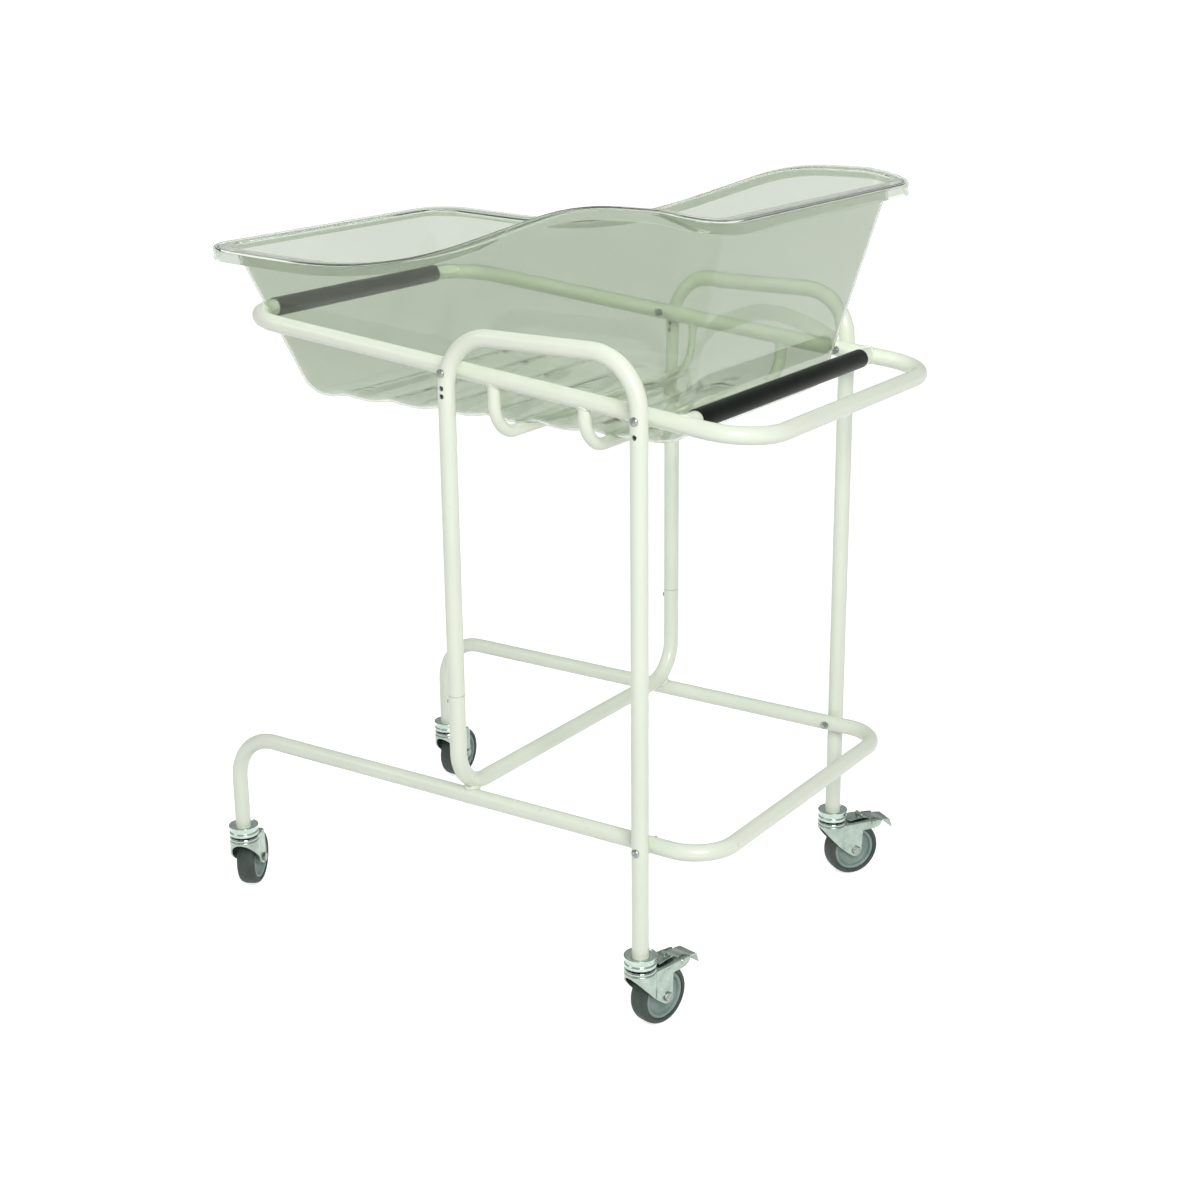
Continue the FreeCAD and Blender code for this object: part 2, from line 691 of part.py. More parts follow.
def below_rim(name, drop):
    """Everything below the wavy rim line, lowered by a drop."""
    body = doc.addObject("PartDesign::Body", name)
    sketch = new_sketch(body, "XZ_Plane")
    crest = [
        ("-(2 * rim_foot)", "low_rim + (low_rim - dip_rim) / (rim_foot - dip_at) * rim_foot", None),
        ("-dip_at", "dip_rim", "dip_bend"),
        ("rise_at", "high_rim", "rise_bend"),
        ("fall_at", "high_rim", "fall_bend"),
        ("2 * rim_head", "head_rim - (high_rim - head_rim) / (rim_head - fall_at) * rim_head", None),
    ]
    spots = [FreeCAD.Vector(number(x), number(f"{z} - ({drop})"), 0) for x, z, bend in crest]
    lines = [sketch.addGeometry(Part.LineSegment(a, b)) for a, b in zip(spots, spots[1:])]
    floor = number("tub_floor / 2")
    low_head = FreeCAD.Vector(spots[-1].x, floor, 0)
    low_foot = FreeCAD.Vector(spots[0].x, floor, 0)
    for start, end in ((spots[-1], low_head), (low_head, low_foot), (low_foot, spots[0])):
        lines.append(sketch.addGeometry(Part.LineSegment(start, end)))
    for line, following in zip(lines, lines[1:] + lines[:1]):
        sketch.addConstraint(Sketcher.Constraint("Coincident", line, 2, following, 1))
    for line, (x, z, bend) in zip(lines, crest):
        pin_point(sketch, line, 1, x, f"{z} - ({drop})")
    pin_point(sketch, lines[-3], 2, crest[-1][0], "tub_floor / 2")
    pin_point(sketch, lines[-1], 1, crest[0][0], "tub_floor / 2")
    pad = body.newObject("PartDesign::Pad", name + "_pad")
    pad.Profile = sketch
    bind(pad, "Length", "4 * rim_half")
    pad.SideType = "Symmetric"
    body.Tip = pad
    doc.recompute()
    blend = pad
    for corner, (x, z, bend) in enumerate(crest[1:-1], start=1):
        for index, edge in enumerate(blend.Shape.Edges, start=1):
            box = edge.BoundBox
            on_corner = abs(box.XMin - spots[corner].x) < 1e-4 and abs(box.ZMin - spots[corner].y) < 1e-4
            if on_corner and box.YLength > 1:
                fillet = body.newObject("PartDesign::Fillet", f"{name}_bend_{corner}")
                fillet.Base = (blend, ["Edge%d" % index])
                bind(fillet, "Radius", bend)
                body.Tip = fillet
                doc.recompute()
                blend = fillet
                break
    return body


def plan_block(name, inset):
    """An upright block with the plan of the tub's rim, drawn in by an inset."""
    body = doc.addObject("PartDesign::Body", name)
    sketch = new_sketch(body, "XY_Plane", ("0", "0", "tub_floor"))
    rounded_plan(
        sketch, f"(rim_foot - ({inset}))", f"(rim_head - ({inset}))", f"(rim_half - ({inset}))",
        f"(rim_corner - ({inset}))")
    pad = body.newObject("PartDesign::Pad", name + "_pad")
    pad.Profile = sketch
    bind(pad, "Length", "mouth_height + 100")
    body.Tip = pad
    return body


def make_tub():
    """The clear tub: a tapering shell with a wavy flange and a turned-down lip."""
    walls = common("tub_walls", tub_form("tub_outside", "0", "0", "tub_edge"), below_rim("rim_top", "0"))
    flange = less(
        "tub_flange",
        common("flange_top", plan_block("flange_plan", "0"), below_rim("rim_top_flange", "0")),
        [below_rim("rim_under", "tub_wall")])
    ring = less("lip_plan", plan_block("lip_outside", "0"), [plan_block("lip_inside", "tub_wall")])
    lip = less(
        "tub_lip",
        common("lip_top", ring, below_rim("rim_top_lip", "0")),
        [below_rim("lip_under", "rim_lip")])
    shell = fused("tub_solid", [walls, flange, lip])
    keep(less(
        "tub_shell", shell, [tub_form("tub_inside", "tub_wall", "tub_wall", "(tub_edge - tub_wall)")]))


def caster_piece(piece, corner):
    """Move a piece made at the swivel axis to its corner of the frame and turn it there."""
    end = "head" if corner.endswith("head") else "foot"
    sign = -1 if corner.startswith("near") else 1
    x, half = (LEG_X, HOOP_HALF) if end == "head" else ("-foot_reach", RAIL_HALF)
    piece.Placement = FreeCAD.Placement(
        FreeCAD.Vector(), FreeCAD.Rotation(FreeCAD.Vector(0, 0, 1), 1.0))
    bind(piece, "Placement.Rotation.Angle", "swivel_" + corner)
    return keep(piece, x, f"{sign} * {half}")


def make_stem(corner):
    """Kingpin with its rivet head under the crown and the expanding plug inside the tube."""
    plug = "tube_dia / 2 - tube_wall - plug_gap"
    points = [
        ("0", f"{CROWN_UNDER} - rivet_head"),
        ("rivet_dia / 2", f"{CROWN_UNDER} - rivet_head"),
        ("rivet_dia / 2", f"{CROWN_UNDER} - ball_gap"),
        ("kingpin_dia / 2", f"{CROWN_UNDER} - ball_gap"),
        ("kingpin_dia / 2", "caster_height + 1"),
        (plug, "caster_height + 2"),
        (plug, "caster_height + plug_length"),
        (plug + " - 2", "caster_height + plug_length + 2"),
        ("0", "caster_height + plug_length + 2"),
    ]
    caster_piece(revolved(f"{corner}_stem", points), corner)


def make_cup(corner):
    """Dished top cup that the tube end stands in, with the upper ball race below."""
    rim = "crown_dia / 2"
    bore = "(kingpin_dia / 2 + running_gap)"
    points = [
        (bore, CUP_UNDER),
        (f"{rim} - 3.5", CUP_UNDER),
        (f"{rim} - 3.0", f"{CUP_UNDER} - 3.0"),
        (f"{rim} - 1.0", f"{CUP_UNDER} - 2.4"),
        (rim, f"{CUP_UNDER} + 1.0"),
        (f"{rim} - 1.2", "caster_height - 1.5"),
        (rim, "caster_height + cup_rise"),
        (f"{rim} - 1.5", "caster_height + cup_rise"),
        ("tube_dia / 2 + 2.0", "caster_height"),
        (bore, "caster_height"),
    ]
    caster_piece(revolved(f"{corner}_cup", points), corner)


def make_balls(corner):
    """The ring of balls between the cup and the crown."""
    balls = []
    for index in range(int(SIZES["ball_count"])):
        ball = doc.addObject("Part::Sphere", f"{corner}_ball_{index}")
        bind(ball, "Radius", "ball_dia / 2")
        turn = f"({index} * 360 / ball_count)"
        bind(ball, "Placement.Base.x", f"ball_ring / 2 * cos{turn}")
        bind(ball, "Placement.Base.y", f"ball_ring / 2 * sin{turn}")
        bind(ball, "Placement.Base.z", BALL_Z)
        balls.append(ball)
    group = doc.addObject("Part::Compound", f"{corner}_balls")
    group.Links = balls
    caster_piece(group, corner)


def make_fork(corner, braked):
    """Pressed swivel fork: crown with the lower race, and two cheeks down to the axle."""
    bore = "(kingpin_dia / 2 + running_gap)"
    crown = revolved(f"{corner}_crown", [
        (bore, CROWN_UNDER),
        ("crown_dia / 2 - 2", CROWN_UNDER),
        ("crown_dia / 2", f"{CROWN_TOP} - 1.0"),
        ("crown_dia / 2 - 1.0", f"{CROWN_TOP} + 1.5"),
        ("crown_dia / 2 - 3.0", RACE_TOP),
        ("ball_ring / 2 - 4.0", RACE_TOP),
        ("ball_ring / 2 - 6.0", CROWN_TOP),
        (bore, CROWN_TOP),
    ])
    back = "(trail + cheek_foot)"
    bridge_end = "bridge_reach" if braked else back
    plate = padded(
        f"{corner}_bridge", "XY_Plane",
        [
            ("0", f"-{CHEEK_OUT}"), (bridge_end, f"-{CHEEK_OUT}"),
            (bridge_end, CHEEK_OUT), ("0", CHEEK_OUT),
        ],
        "fork_plate", ("0", "0", f"{CROWN_TOP} - fork_plate"), symmetric=False)
    solids = [crown, plate]
    rear = [(back, f"{WHEEL_R} - cheek_foot / 3"), (back, CROWN_TOP)]
    if braked:
        rear = [
            rear[0], (back, "arm_under"), ("pedal_pivot + 4", "arm_under"),
            ("arm_reach", "arm_under + 5.5"), ("arm_reach", f"{CROWN_TOP} - 0.6"), rear[1],
        ]
    for side, sign in SIDES:
        solids.append(padded(
            f"{corner}_{side}_cheek", "XZ_Plane",
            [
                ("-crown_dia / 2 + 5", CROWN_TOP),
                ("-crown_dia / 2 + 6", f"{CROWN_UNDER} - 2"),
                ("trail - cheek_foot", f"{WHEEL_R} - cheek_foot / 3"),
                ("trail - cheek_foot / 2", f"{WHEEL_R} - cheek_foot"),
                ("trail + cheek_foot / 2", f"{WHEEL_R} - cheek_foot"),
            ] + rear,
            "fork_plate", ("0", "0", f"{-sign} * ({CHEEK_IN} + fork_plate / 2)")))
    fork = fused(f"{corner}_fork_blank", solids)
    cuts = [
        rod(f"{corner}_king_hole", "Z", f"2 * {bore}", "4 * crown_drop", "0", "0", "caster_height"),
        rod(
            f"{corner}_axle_hole", "Y", "axle_dia + 2 * axle_gap", f"3 * {CHEEK_OUT}",
            "trail", "0", WHEEL_R),
    ]
    if braked:
        cuts.append(rod(
            f"{corner}_pedal_hole", "Y", "pedal_pin + 2 * running_gap", f"3 * {CHEEK_OUT}",
            "pedal_pivot", "0", "pedal_height"))
    caster_piece(less(f"{corner}_fork", fork, cuts), corner)


def make_wheel(corner):
    """Hub, tyre, spacer and axle bolt with its nut."""
    web = "(web_width / 2)"
    rim = "(hub_dia / 2)"
    bore = "(spacer_dia / 2 + running_gap)"
    boss = "(spacer_dia / 2 + 4.5)"
    half = "(hub_width / 2)"
    hub_points = [
        (bore, f"-{half}"), (boss, f"-{half}"), (boss, f"-{web}"), (f"{rim} - 4", f"-{web}"),
        (f"{rim} - 2.5", f"-{half}"), (rim, f"-{half}"), (rim, half), (f"{rim} - 2.5", half),
        (f"{rim} - 4", web), (boss, web), (boss, half), (bore, half),
    ]
    tread = "(wheel_width / 2)"
    tyre_points = [
        (rim, f"-{half}"), (f"{rim} + 2.5", f"-{tread}"), (f"{WHEEL_R} - 3.2", f"-{tread} + 0.8"),
        (f"{WHEEL_R} - 0.7", f"-{tread} + 4.5"), (WHEEL_R, f"-{tread} + 8"), (WHEEL_R, f"{tread} - 8"),
        (f"{WHEEL_R} - 0.7", f"{tread} - 4.5"), (f"{WHEEL_R} - 3.2", f"{tread} - 0.8"),
        (f"{rim} + 2.5", tread), (rim, half),
    ]
    for part, points in (("hub", hub_points), ("tyre", tyre_points)):
        outline_points = [(along, radius) for radius, along in points]
        caster_piece(revolved(f"{corner}_{part}", outline_points, ("trail", WHEEL_R)), corner)
    spacer_tube = rod(
        f"{corner}_spacer_rod", "Y", "spacer_dia", f"2 * {CHEEK_IN}", "trail", "0", WHEEL_R)
    spacer_bore = rod(
        f"{corner}_spacer_bore", "Y", "axle_dia + 2 * axle_gap", f"3 * {CHEEK_IN}", "trail", "0", WHEEL_R)
    caster_piece(less(f"{corner}_spacer", spacer_tube, [spacer_bore]), corner)
    shank = rod(
        f"{corner}_axle_shank", "Y", "axle_dia", f"2 * {CHEEK_OUT} + axle_head",
        "trail", "axle_head / 2", WHEEL_R)
    head = rod(
        f"{corner}_axle_flange", "Y", "axle_head_dia", "axle_head",
        "trail", f"-{CHEEK_OUT} - axle_head / 2", WHEEL_R)
    caster_piece(fused(f"{corner}_axle_bolt", [shank, head]), corner)
    prism = doc.addObject("Part::Prism", f"{corner}_axle_hexagon")
    prism.Polygon = 6
    prism.Placement = FreeCAD.Placement(
        FreeCAD.Vector(), FreeCAD.Rotation(FreeCAD.Vector(1, 0, 0), -90))
    bind(prism, "Circumradius", "axle_head_dia / 2")
    bind(prism, "Height", "axle_head")
    bind(prism, "Placement.Base.x", "trail")
    bind(prism, "Placement.Base.y", CHEEK_OUT)
    bind(prism, "Placement.Base.z", WHEEL_R)
    nut_bore = rod(
        f"{corner}_axle_nut_bore", "Y", "axle_dia", "4 * axle_head", "trail", CHEEK_OUT, WHEEL_R)
    caster_piece(less(f"{corner}_axle_nut", prism, [nut_bore]), corner)


def make_pedal(corner):
    """Brake pedal between the fork's arms: a boss on its pin, a nose for the tyre and a bent tip."""
    boss = "(pedal_boss / 2)"
    side = "(pedal_width / 2)"
    solids = [
        revolved(
            f"{corner}_boss",
            [(f"-{side}", "0"), (f"-{side}", boss), (side, boss), (side, "0")],
            ("pedal_pivot", "pedal_height")),
        padded(
            f"{corner}_nose", "XZ_Plane",
            [
                ("pedal_pivot - 3", "pedal_height - 3"),
                ("pedal_pivot - 0.5", "pedal_height - nose_length"),
                ("pedal_pivot + 2.5", "pedal_height - nose_length + 0.3"),
                ("pedal_pivot + 4.5", "pedal_height - 2"),
            ],
            "nose_width"),
        padded(
            f"{corner}_lever", "XZ_Plane",
            [
                ("pedal_pivot + 1", f"pedal_height + {boss} - pedal_plate"),
                ("pedal_pivot + 17", "pedal_height + tip_rise - pedal_plate"),
                ("pedal_pivot + 17", "pedal_height + tip_rise"),
                ("pedal_pivot", f"pedal_height + {boss}"),
            ],
            "pedal_width"),
        padded(
            f"{corner}_tip", "XZ_Plane",
            [
                ("pedal_pivot + 16.4", "pedal_height + tip_rise - pedal_plate"),
                ("pedal_reach - 6.4", "pedal_height + tip_rise - tip_fall - pedal_plate"),
                ("pedal_reach - pedal_plate", "pedal_height + tip_rise - tip_fall - tip_lip - 0.6"),
                ("pedal_reach", "pedal_height + tip_rise - tip_fall - tip_lip"),
                ("pedal_reach - 5", "pedal_height + tip_rise - tip_fall"),
                ("pedal_pivot + 16.4", "pedal_height + tip_rise"),
            ],
            "pedal_tip_width"),
    ]
    hole = rod(
        f"{corner}_pedal_bore", "Y", "pedal_pin + 2 * running_gap", "2 * pedal_width",
        "pedal_pivot", "0", "pedal_height")
    caster_piece(less(f"{corner}_pedal", fused(f"{corner}_pedal_blank", solids), [hole]), corner)
    pin = "(pedal_pin / 2)"
    flat = f"({CHEEK_OUT} + ball_gap)"
    pin_points = [
        (f"-{flat} - 1.5", "0"), (f"-{flat} - 1.5", f"{pin} + 1"), (f"-{flat}", f"{pin} + 2"),
        (f"-{flat}", pin), (flat, pin), (flat, f"{pin} + 2"), (f"{flat} + 1.5", f"{pin} + 1"),
        (f"{flat} + 1.5", "0"),
    ]
    caster_piece(
        revolved(f"{corner}_pedal_pin", pin_points, ("pedal_pivot", "pedal_height")), corner)


def make_casters():
    for corner in SWIVEL:
        braked = corner.endswith("head")
        make_stem(corner)
        make_cup(corner)
        make_balls(corner)
        make_fork(corner, braked)
        make_wheel(corner)
        if braked:
            make_pedal(corner)


def check_and_export():
    """Stop on any failed object, then write one file for each sub-part."""
    doc.recompute()
    for item in doc.Objects:
        if "Invalid" in item.State or "Error" in item.State:
            raise RuntimeError(f"{item.Name} failed: {item.State}")
    for piece in subparts:
        if piece.Shape.isNull() or not piece.Shape.isValid():
            raise RuntimeError(f"{piece.Label} has no valid shape")
    os.makedirs("parts", exist_ok=True)
    for piece in subparts:
        piece.Shape.exportStep(os.path.join("parts", piece.Label + ".step"))
        print(piece.Label, len(piece.Shape.Solids), round(piece.Shape.Volume))


make_hoops()
make_cross_tube()
make_spigots()
make_base_tube()
make_loop()
make_cradles()
make_bolts()
make_tub()
make_casters()
check_and_export()
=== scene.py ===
import math

import bmesh
import bpy
from mathutils import Matrix, Vector


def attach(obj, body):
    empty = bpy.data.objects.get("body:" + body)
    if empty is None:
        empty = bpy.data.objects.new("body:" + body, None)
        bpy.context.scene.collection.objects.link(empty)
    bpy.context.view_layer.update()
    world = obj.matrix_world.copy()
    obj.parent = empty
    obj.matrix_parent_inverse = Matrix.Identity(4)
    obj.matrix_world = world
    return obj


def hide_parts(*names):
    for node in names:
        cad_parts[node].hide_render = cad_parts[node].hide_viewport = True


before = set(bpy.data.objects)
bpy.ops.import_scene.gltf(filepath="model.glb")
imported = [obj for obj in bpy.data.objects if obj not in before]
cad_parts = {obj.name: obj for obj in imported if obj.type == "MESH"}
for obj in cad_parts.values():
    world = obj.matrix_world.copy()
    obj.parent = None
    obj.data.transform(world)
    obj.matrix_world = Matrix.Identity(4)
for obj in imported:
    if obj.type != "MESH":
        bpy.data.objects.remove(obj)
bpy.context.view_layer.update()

# Lengths below are millimetres from the middle of the hoops, at floor level, with +X to the head
# and -Y to the near side. piece() turns them into metres from the frame's own origin.
MM = 0.001
MIDDLE = Vector((153.4, -31.6, 0.0))
SIDES = (-1, 1)  # near and far

TUBE = 11.0  # outer radius of the frame's tubes
HOOP_HALF = 265.0  # from the middle to each hoop's tube axis
RAIL_HALF = 242.8  # from the middle to the rails' tube axes, in the base and in the loop
LEG_X = 140.0
LOOP_HEIGHT = 809.0
LOOP_TILT = math.radians(5.5)
LOOP_FOOT = 504.0  # from the middle to the loop's foot end, along its slope
HEAD_BAR = 186.0  # from the middle to the bar in its head end
RAIL_HEIGHT = 250.0
CROSS_TURN = 55.0  # bend radius of the lower cross tube
CRADLES = (-84.0, 49.0)  # where the two hanging tubes leave the loop's rails
TUB_FLOOR = 752.0
CORNERS = {  # x, y and turn in degrees of each caster
    "near_head": (LEG_X, -HOOP_HALF, 78.0),
    "far_head": (LEG_X, HOOP_HALF, 56.0),
    "near_foot": (-559.0, -RAIL_HALF, 116.0),
    "far_foot": (-559.0, RAIL_HALF, 96.0),
}


def loop_z(x):
    """Height of the tilted loop's tube axis."""
    return LOOP_HEIGHT - x * math.tan(LOOP_TILT)


# ---------------------------------------------------------------- outlines

NEARLY_STRAIGHT = math.radians(89.5)
SIDE_SHARE = 0.49  # a rounding takes at most this much of the side next to it


def rounded(points, closed=False, steps=6):
    """A 2-D line through (x, y, radius) corners, each rounded by its radius."""
    count = len(points)
    line = []
    for index, (x, y, radius) in enumerate(points):
        here = Vector((x, y))
        if radius <= 0 or (not closed and index in (0, count - 1)):
            line.append(here)
            continue
        before = Vector(points[index - 1][:2]) - here
        after = Vector(points[(index + 1) % count][:2]) - here
        reach_limit = SIDE_SHARE * min(before.length, after.length)
        before.normalize()
        after.normalize()
        half = before.angle(after) / 2
        if half > NEARLY_STRAIGHT:
            line.append(here)
            continue
        reach = min(radius / math.tan(half), reach_limit)
        radius = reach * math.tan(half)
        centre = here + (before + after).normalized() * (radius / math.sin(half))
        first = here + before * reach - centre
        last = here + after * reach - centre
        turn = first.angle_signed(last)
        for step in range(steps + 1):
            line.append(centre + Matrix.Rotation(-turn * step / steps, 2) @ first)
    return [(p.x, p.y) for p in line]


def eased(table, x):
    """Smooth curve through a table of (x, value) points, level beyond both ends."""
    if x <= table[0][0]:
        return table[0][1]
    if x >= table[-1][0]:
        return table[-1][1]
    index = next(i for i in range(len(table) - 1) if x <= table[i + 1][0])
    (xb, yb), (x0, y0) = table[max(index - 1, 0)], table[index]
    (x1, y1), (xa, ya) = table[index + 1], table[min(index + 2, len(table) - 1)]
    start = (y1 - yb) / (x1 - xb) * (x1 - x0)
    end = (ya - y0) / (xa - x0) * (x1 - x0)
    t = (x - x0) / (x1 - x0)
    return (
        (2 * t**3 - 3 * t**2 + 1) * y0 + (t**3 - 2 * t**2 + t) * start
        + (3 * t**2 - 2 * t**3) * y1 + (t**3 - t**2) * end
    )


# ---------------------------------------------------------------- shapes: (vertices, faces)

BEAD_SIDES = 8
BEAD_SKEW = Vector((0.31, 0.23, 0.92))  # lies along no bead, so a bead's side is taken from it


def grid_faces(rows, columns, close_rows=False, close_columns=False):
    """Four-sided faces over rows of points, wrapped round where a direction is closed."""
    faces = []
    for row in range(rows if close_rows else rows - 1):
        for column in range(columns if close_columns else columns - 1):
            a = row * columns + column
            b = row * columns + (column + 1) % columns
            c = (row + 1) % rows * columns + (column + 1) % columns
            d = (row + 1) % rows * columns + column
            faces.append((a, b, c, d))
    return faces


def lathe(profile, segments, closed=False):
    """Shape turned about Z from (radius, height) points."""
    verts = []
    for radius, height in profile:
        for step in range(segments):
            angle = 2 * math.pi * step / segments
            verts.append((radius * math.cos(angle), radius * math.sin(angle), height))
    return verts, grid_faces(len(profile), segments, close_rows=closed, close_columns=True)


def turned(corners, segments, steps=6, closed=True):
    """Shape turned about Z from (radius, height, rounding) corners."""
    return lathe(rounded(corners, closed, steps), segments, closed)


def across(shape, x, z):
    """Turn a shape made about Z so that it lies about a line along Y through (x, z)."""
    verts, faces = shape
    return [(x + a, c, z - b) for a, b, c in verts], faces


def plate(outline, low, high):
    """A flat plate in XZ between two Y values."""
    count = len(outline)
    verts = [(x, low, z) for x, z in outline] + [(x, high, z) for x, z in outline]
    faces = [tuple(range(count)), tuple(reversed(range(count, 2 * count)))]
    for index in range(count):
        following = (index + 1) % count
        faces.append((index, index + count, following + count, following))
    return verts, faces


def hexagon(width, height, chamfer, bore=0.0):
    """A hexagon that stands on Z = 0 with chamfered corners, as turned and cut from bar."""
    segments = 72
    half = width / 2
    inset, rim = 0.4, 0.2  # small bevel round both ends
    side = 2.4 * chamfer  # how far the chamfer comes down at the corners
    profile = [
        (0.0, 0.0), (half - inset, 0.0), (half, rim), (width, side), (width, height - side),
        (half, height - rim), (half - inset, height), (bore, height),
    ]
    verts = []
    for radius, z in profile:
        for step in range(segments):
            angle = 2 * math.pi * step / segments
            flat = half / math.cos((angle + math.pi / 6) % (math.pi / 3) - math.pi / 6)
            reach = min(radius, flat)
            verts.append((reach * math.cos(angle), reach * math.sin(angle), z))
    return verts, grid_faces(len(profile), segments, close_columns=True)


def bead(path, radius, wobble):
    """A weld bead round a closed line of 3-D points, slightly uneven."""
    points = [Vector(p) for p in path]
    count = len(points)
    verts = []
    for index, point in enumerate(points):
        ahead = (points[(index + 1) % count] - points[index - 1]).normalized()
        side = ahead.cross(BEAD_SKEW).normalized()
        up = side.cross(ahead)
        size = radius * (1 + wobble * math.sin(index * 1.7) * math.cos(index * 0.6))
        for step in range(BEAD_SIDES):
            angle = 2 * math.pi * step / BEAD_SIDES
            verts.append(point + side * (size * math.cos(angle)) + up * (size * math.sin(angle)))
    return verts, grid_faces(count, BEAD_SIDES, close_rows=True, close_columns=True)


def sheet_strip(line, width, lift, steps):
    """A pressed strip along an XZ line, with its width and height of emboss along the line."""
    verts = []
    for index, (x, z) in enumerate(line):
        for step in range(steps + 1):
            y = width(index) * (step / steps - 0.5)
            verts.append((x, y, z + lift(index, y, width(index) / 2)))
    return verts, grid_faces(len(line), steps + 1)


def joined(*shapes):
    """Several shapes as one."""
    verts = []
    faces = []
    for shape_verts, shape_faces in shapes:
        offset = len(verts)
        verts += list(shape_verts)
        faces += [tuple(index + offset for index in face) for face in shape_faces]
    return verts, faces


def mapped(shape, matrix):
    """A shape put through a 4 by 4 matrix."""
    return [matrix @ Vector(v) for v in shape[0]], shape[1]


def moved(shape, x, y, turn=0.0):
    """A shape turned about Z by an angle in degrees, then moved over the floor."""
    turning = Matrix.Rotation(math.radians(turn), 4, "Z")
    return mapped(shape, Matrix.Translation((x, y, 0)) @ turning)


def facing(shape, x, y, z, sign, spin):
    """Point a head's +Z along Y outwards, spun about its own axis by an angle in degrees."""
    turn = Matrix.Rotation(math.radians(-90.0 * sign), 4, "X")
    spinning = Matrix.Rotation(math.radians(spin), 4, "Z")
    return mapped(shape, Matrix.Translation((x, y, z)) @ turn @ spinning)


# ---------------------------------------------------------------- pieces

MERGE_GAP = 0.00001  # metres
SLIVER = 0.000005  # metres


def clean(mesh, gap, sliver=None):
    """Merge doubled vertices, drop slivers and turn the faces outwards."""
    work = bmesh.new()
    work.from_mesh(mesh)
    bmesh.ops.remove_doubles(work, verts=work.verts, dist=gap)
    if sliver:
        bmesh.ops.dissolve_degenerate(work, edges=work.edges, dist=sliver)
    bmesh.ops.recalc_face_normals(work, faces=work.faces)
    work.to_mesh(mesh)
    work.free()


def placed(name, data):
    """A new object, linked to the scene."""
    made = bpy.data.objects.new(name, data)
    bpy.context.scene.collection.objects.link(made)
    return made


def piece(name, shape, material, slot, body, replaces=(), sharp=38.0, modifiers=()):
    """Make a mesh in the frame, in metres, and hand it to its body."""
    verts, faces = shape
    mesh = bpy.data.meshes.new(name)
    mesh.from_pydata([(Vector(v) + MIDDLE) * MM for v in verts], [], faces)
    clean(mesh, MERGE_GAP, SLIVER)
    mesh.materials.append(material)
    mesh.shade_smooth()
    mesh.set_sharp_from_angle(angle=math.radians(sharp))
    made = placed(name, mesh)
    for kind, settings in modifiers:
        modifier = made.modifiers.new(kind.title(), kind)
        for key, value in settings.items():
            setattr(modifier, key, value)
    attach(made, body)
    if replaces:
        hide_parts(*replaces)
    return made


def edge_bevel(width, segments=2, angle=50.0):
    """Rounding of all edges sharper than an angle."""
    return ("BEVEL", {
        "width": width * MM, "segments": segments, "limit_method": "ANGLE",
        "angle_limit": math.radians(angle), "harden_normals": False,
    })


def thickness(size):
    """Sheet thickness, added inwards from the drawn skin."""
    return ("SOLIDIFY", {"thickness": size * MM, "offset": -1.0, "use_even_offset": True})


# ---------------------------------------------------------------- materials

def colour_ramp(nodes, stops):
    """A colour ramp node with (position, colour) stops."""
    ramp = nodes.new("ShaderNodeValToRGB")
    elements = ramp.color_ramp.elements
    while len(elements) < len(stops):
        elements.new(0.5)
    for element, (position, colour) in zip(elements, stops):
        element.position = position
        element.color = (*colour, 1.0)
    return ramp


class Finish:
    """A node material that starts from one Principled shader."""

    def __init__(self, name, **settings):
        self.material = bpy.data.materials.new(name)
        self.material.use_nodes = True
        self.nodes = self.material.node_tree.nodes
        self.links = self.material.node_tree.links
        self.shader = self.nodes["Principled BSDF"]
        for key, value in settings.items():
            self.shader.inputs[key.replace("_", " ")].default_value = value
        self.place = self.nodes.new("ShaderNodeTexCoord").outputs["Object"]

    def stretched(self, scale):
        mapping = self.nodes.new("ShaderNodeMapping")
        mapping.inputs["Scale"].default_value = scale
        self.links.new(self.place, mapping.inputs["Vector"])
        return mapping.outputs["Vector"]

    def noise(self, scale, detail=3.0, stretch=None, roughness=0.5):
        noise = self.nodes.new("ShaderNodeTexNoise")
        noise.inputs["Scale"].default_value = scale
        noise.inputs["Detail"].default_value = detail
        noise.inputs["Roughness"].default_value = roughness
        self.links.new(self.stretched(stretch) if stretch else self.place, noise.inputs["Vector"])
        return noise.outputs["Fac"]

    def cells(self, scale):
        cells = self.nodes.new("ShaderNodeTexVoronoi")
        cells.inputs["Scale"].default_value = scale
        self.links.new(self.place, cells.inputs["Vector"])
        return cells.outputs["Distance"]

    def colour(self, factor, *stops):
        """Base colour from (position, colour) stops along a factor."""
        ramp = colour_ramp(self.nodes, stops)
        self.links.new(factor, ramp.inputs["Fac"])
        self.links.new(ramp.outputs["Color"], self.shader.inputs["Base Color"])

    def rough(self, factor, low, high):
        spread = self.nodes.new("ShaderNodeMapRange")
        spread.inputs["To Min"].default_value = low
        spread.inputs["To Max"].default_value = high
        self.links.new(factor, spread.inputs["Value"])
        self.links.new(spread.outputs["Result"], self.shader.inputs["Roughness"])

    def bump(self, *layers):
        """Stack of (height, strength, distance in metres)."""
        normal = None
        for height, strength, distance in layers:
            bump = self.nodes.new("ShaderNodeBump")
            bump.inputs["Strength"].default_value = strength
            bump.inputs["Distance"].default_value = distance
            self.links.new(height, bump.inputs["Height"])
            if normal is not None:
                self.links.new(normal, bump.inputs["Normal"])
            normal = bump.outputs["Normal"]
        self.links.new(normal, self.shader.inputs["Normal"])


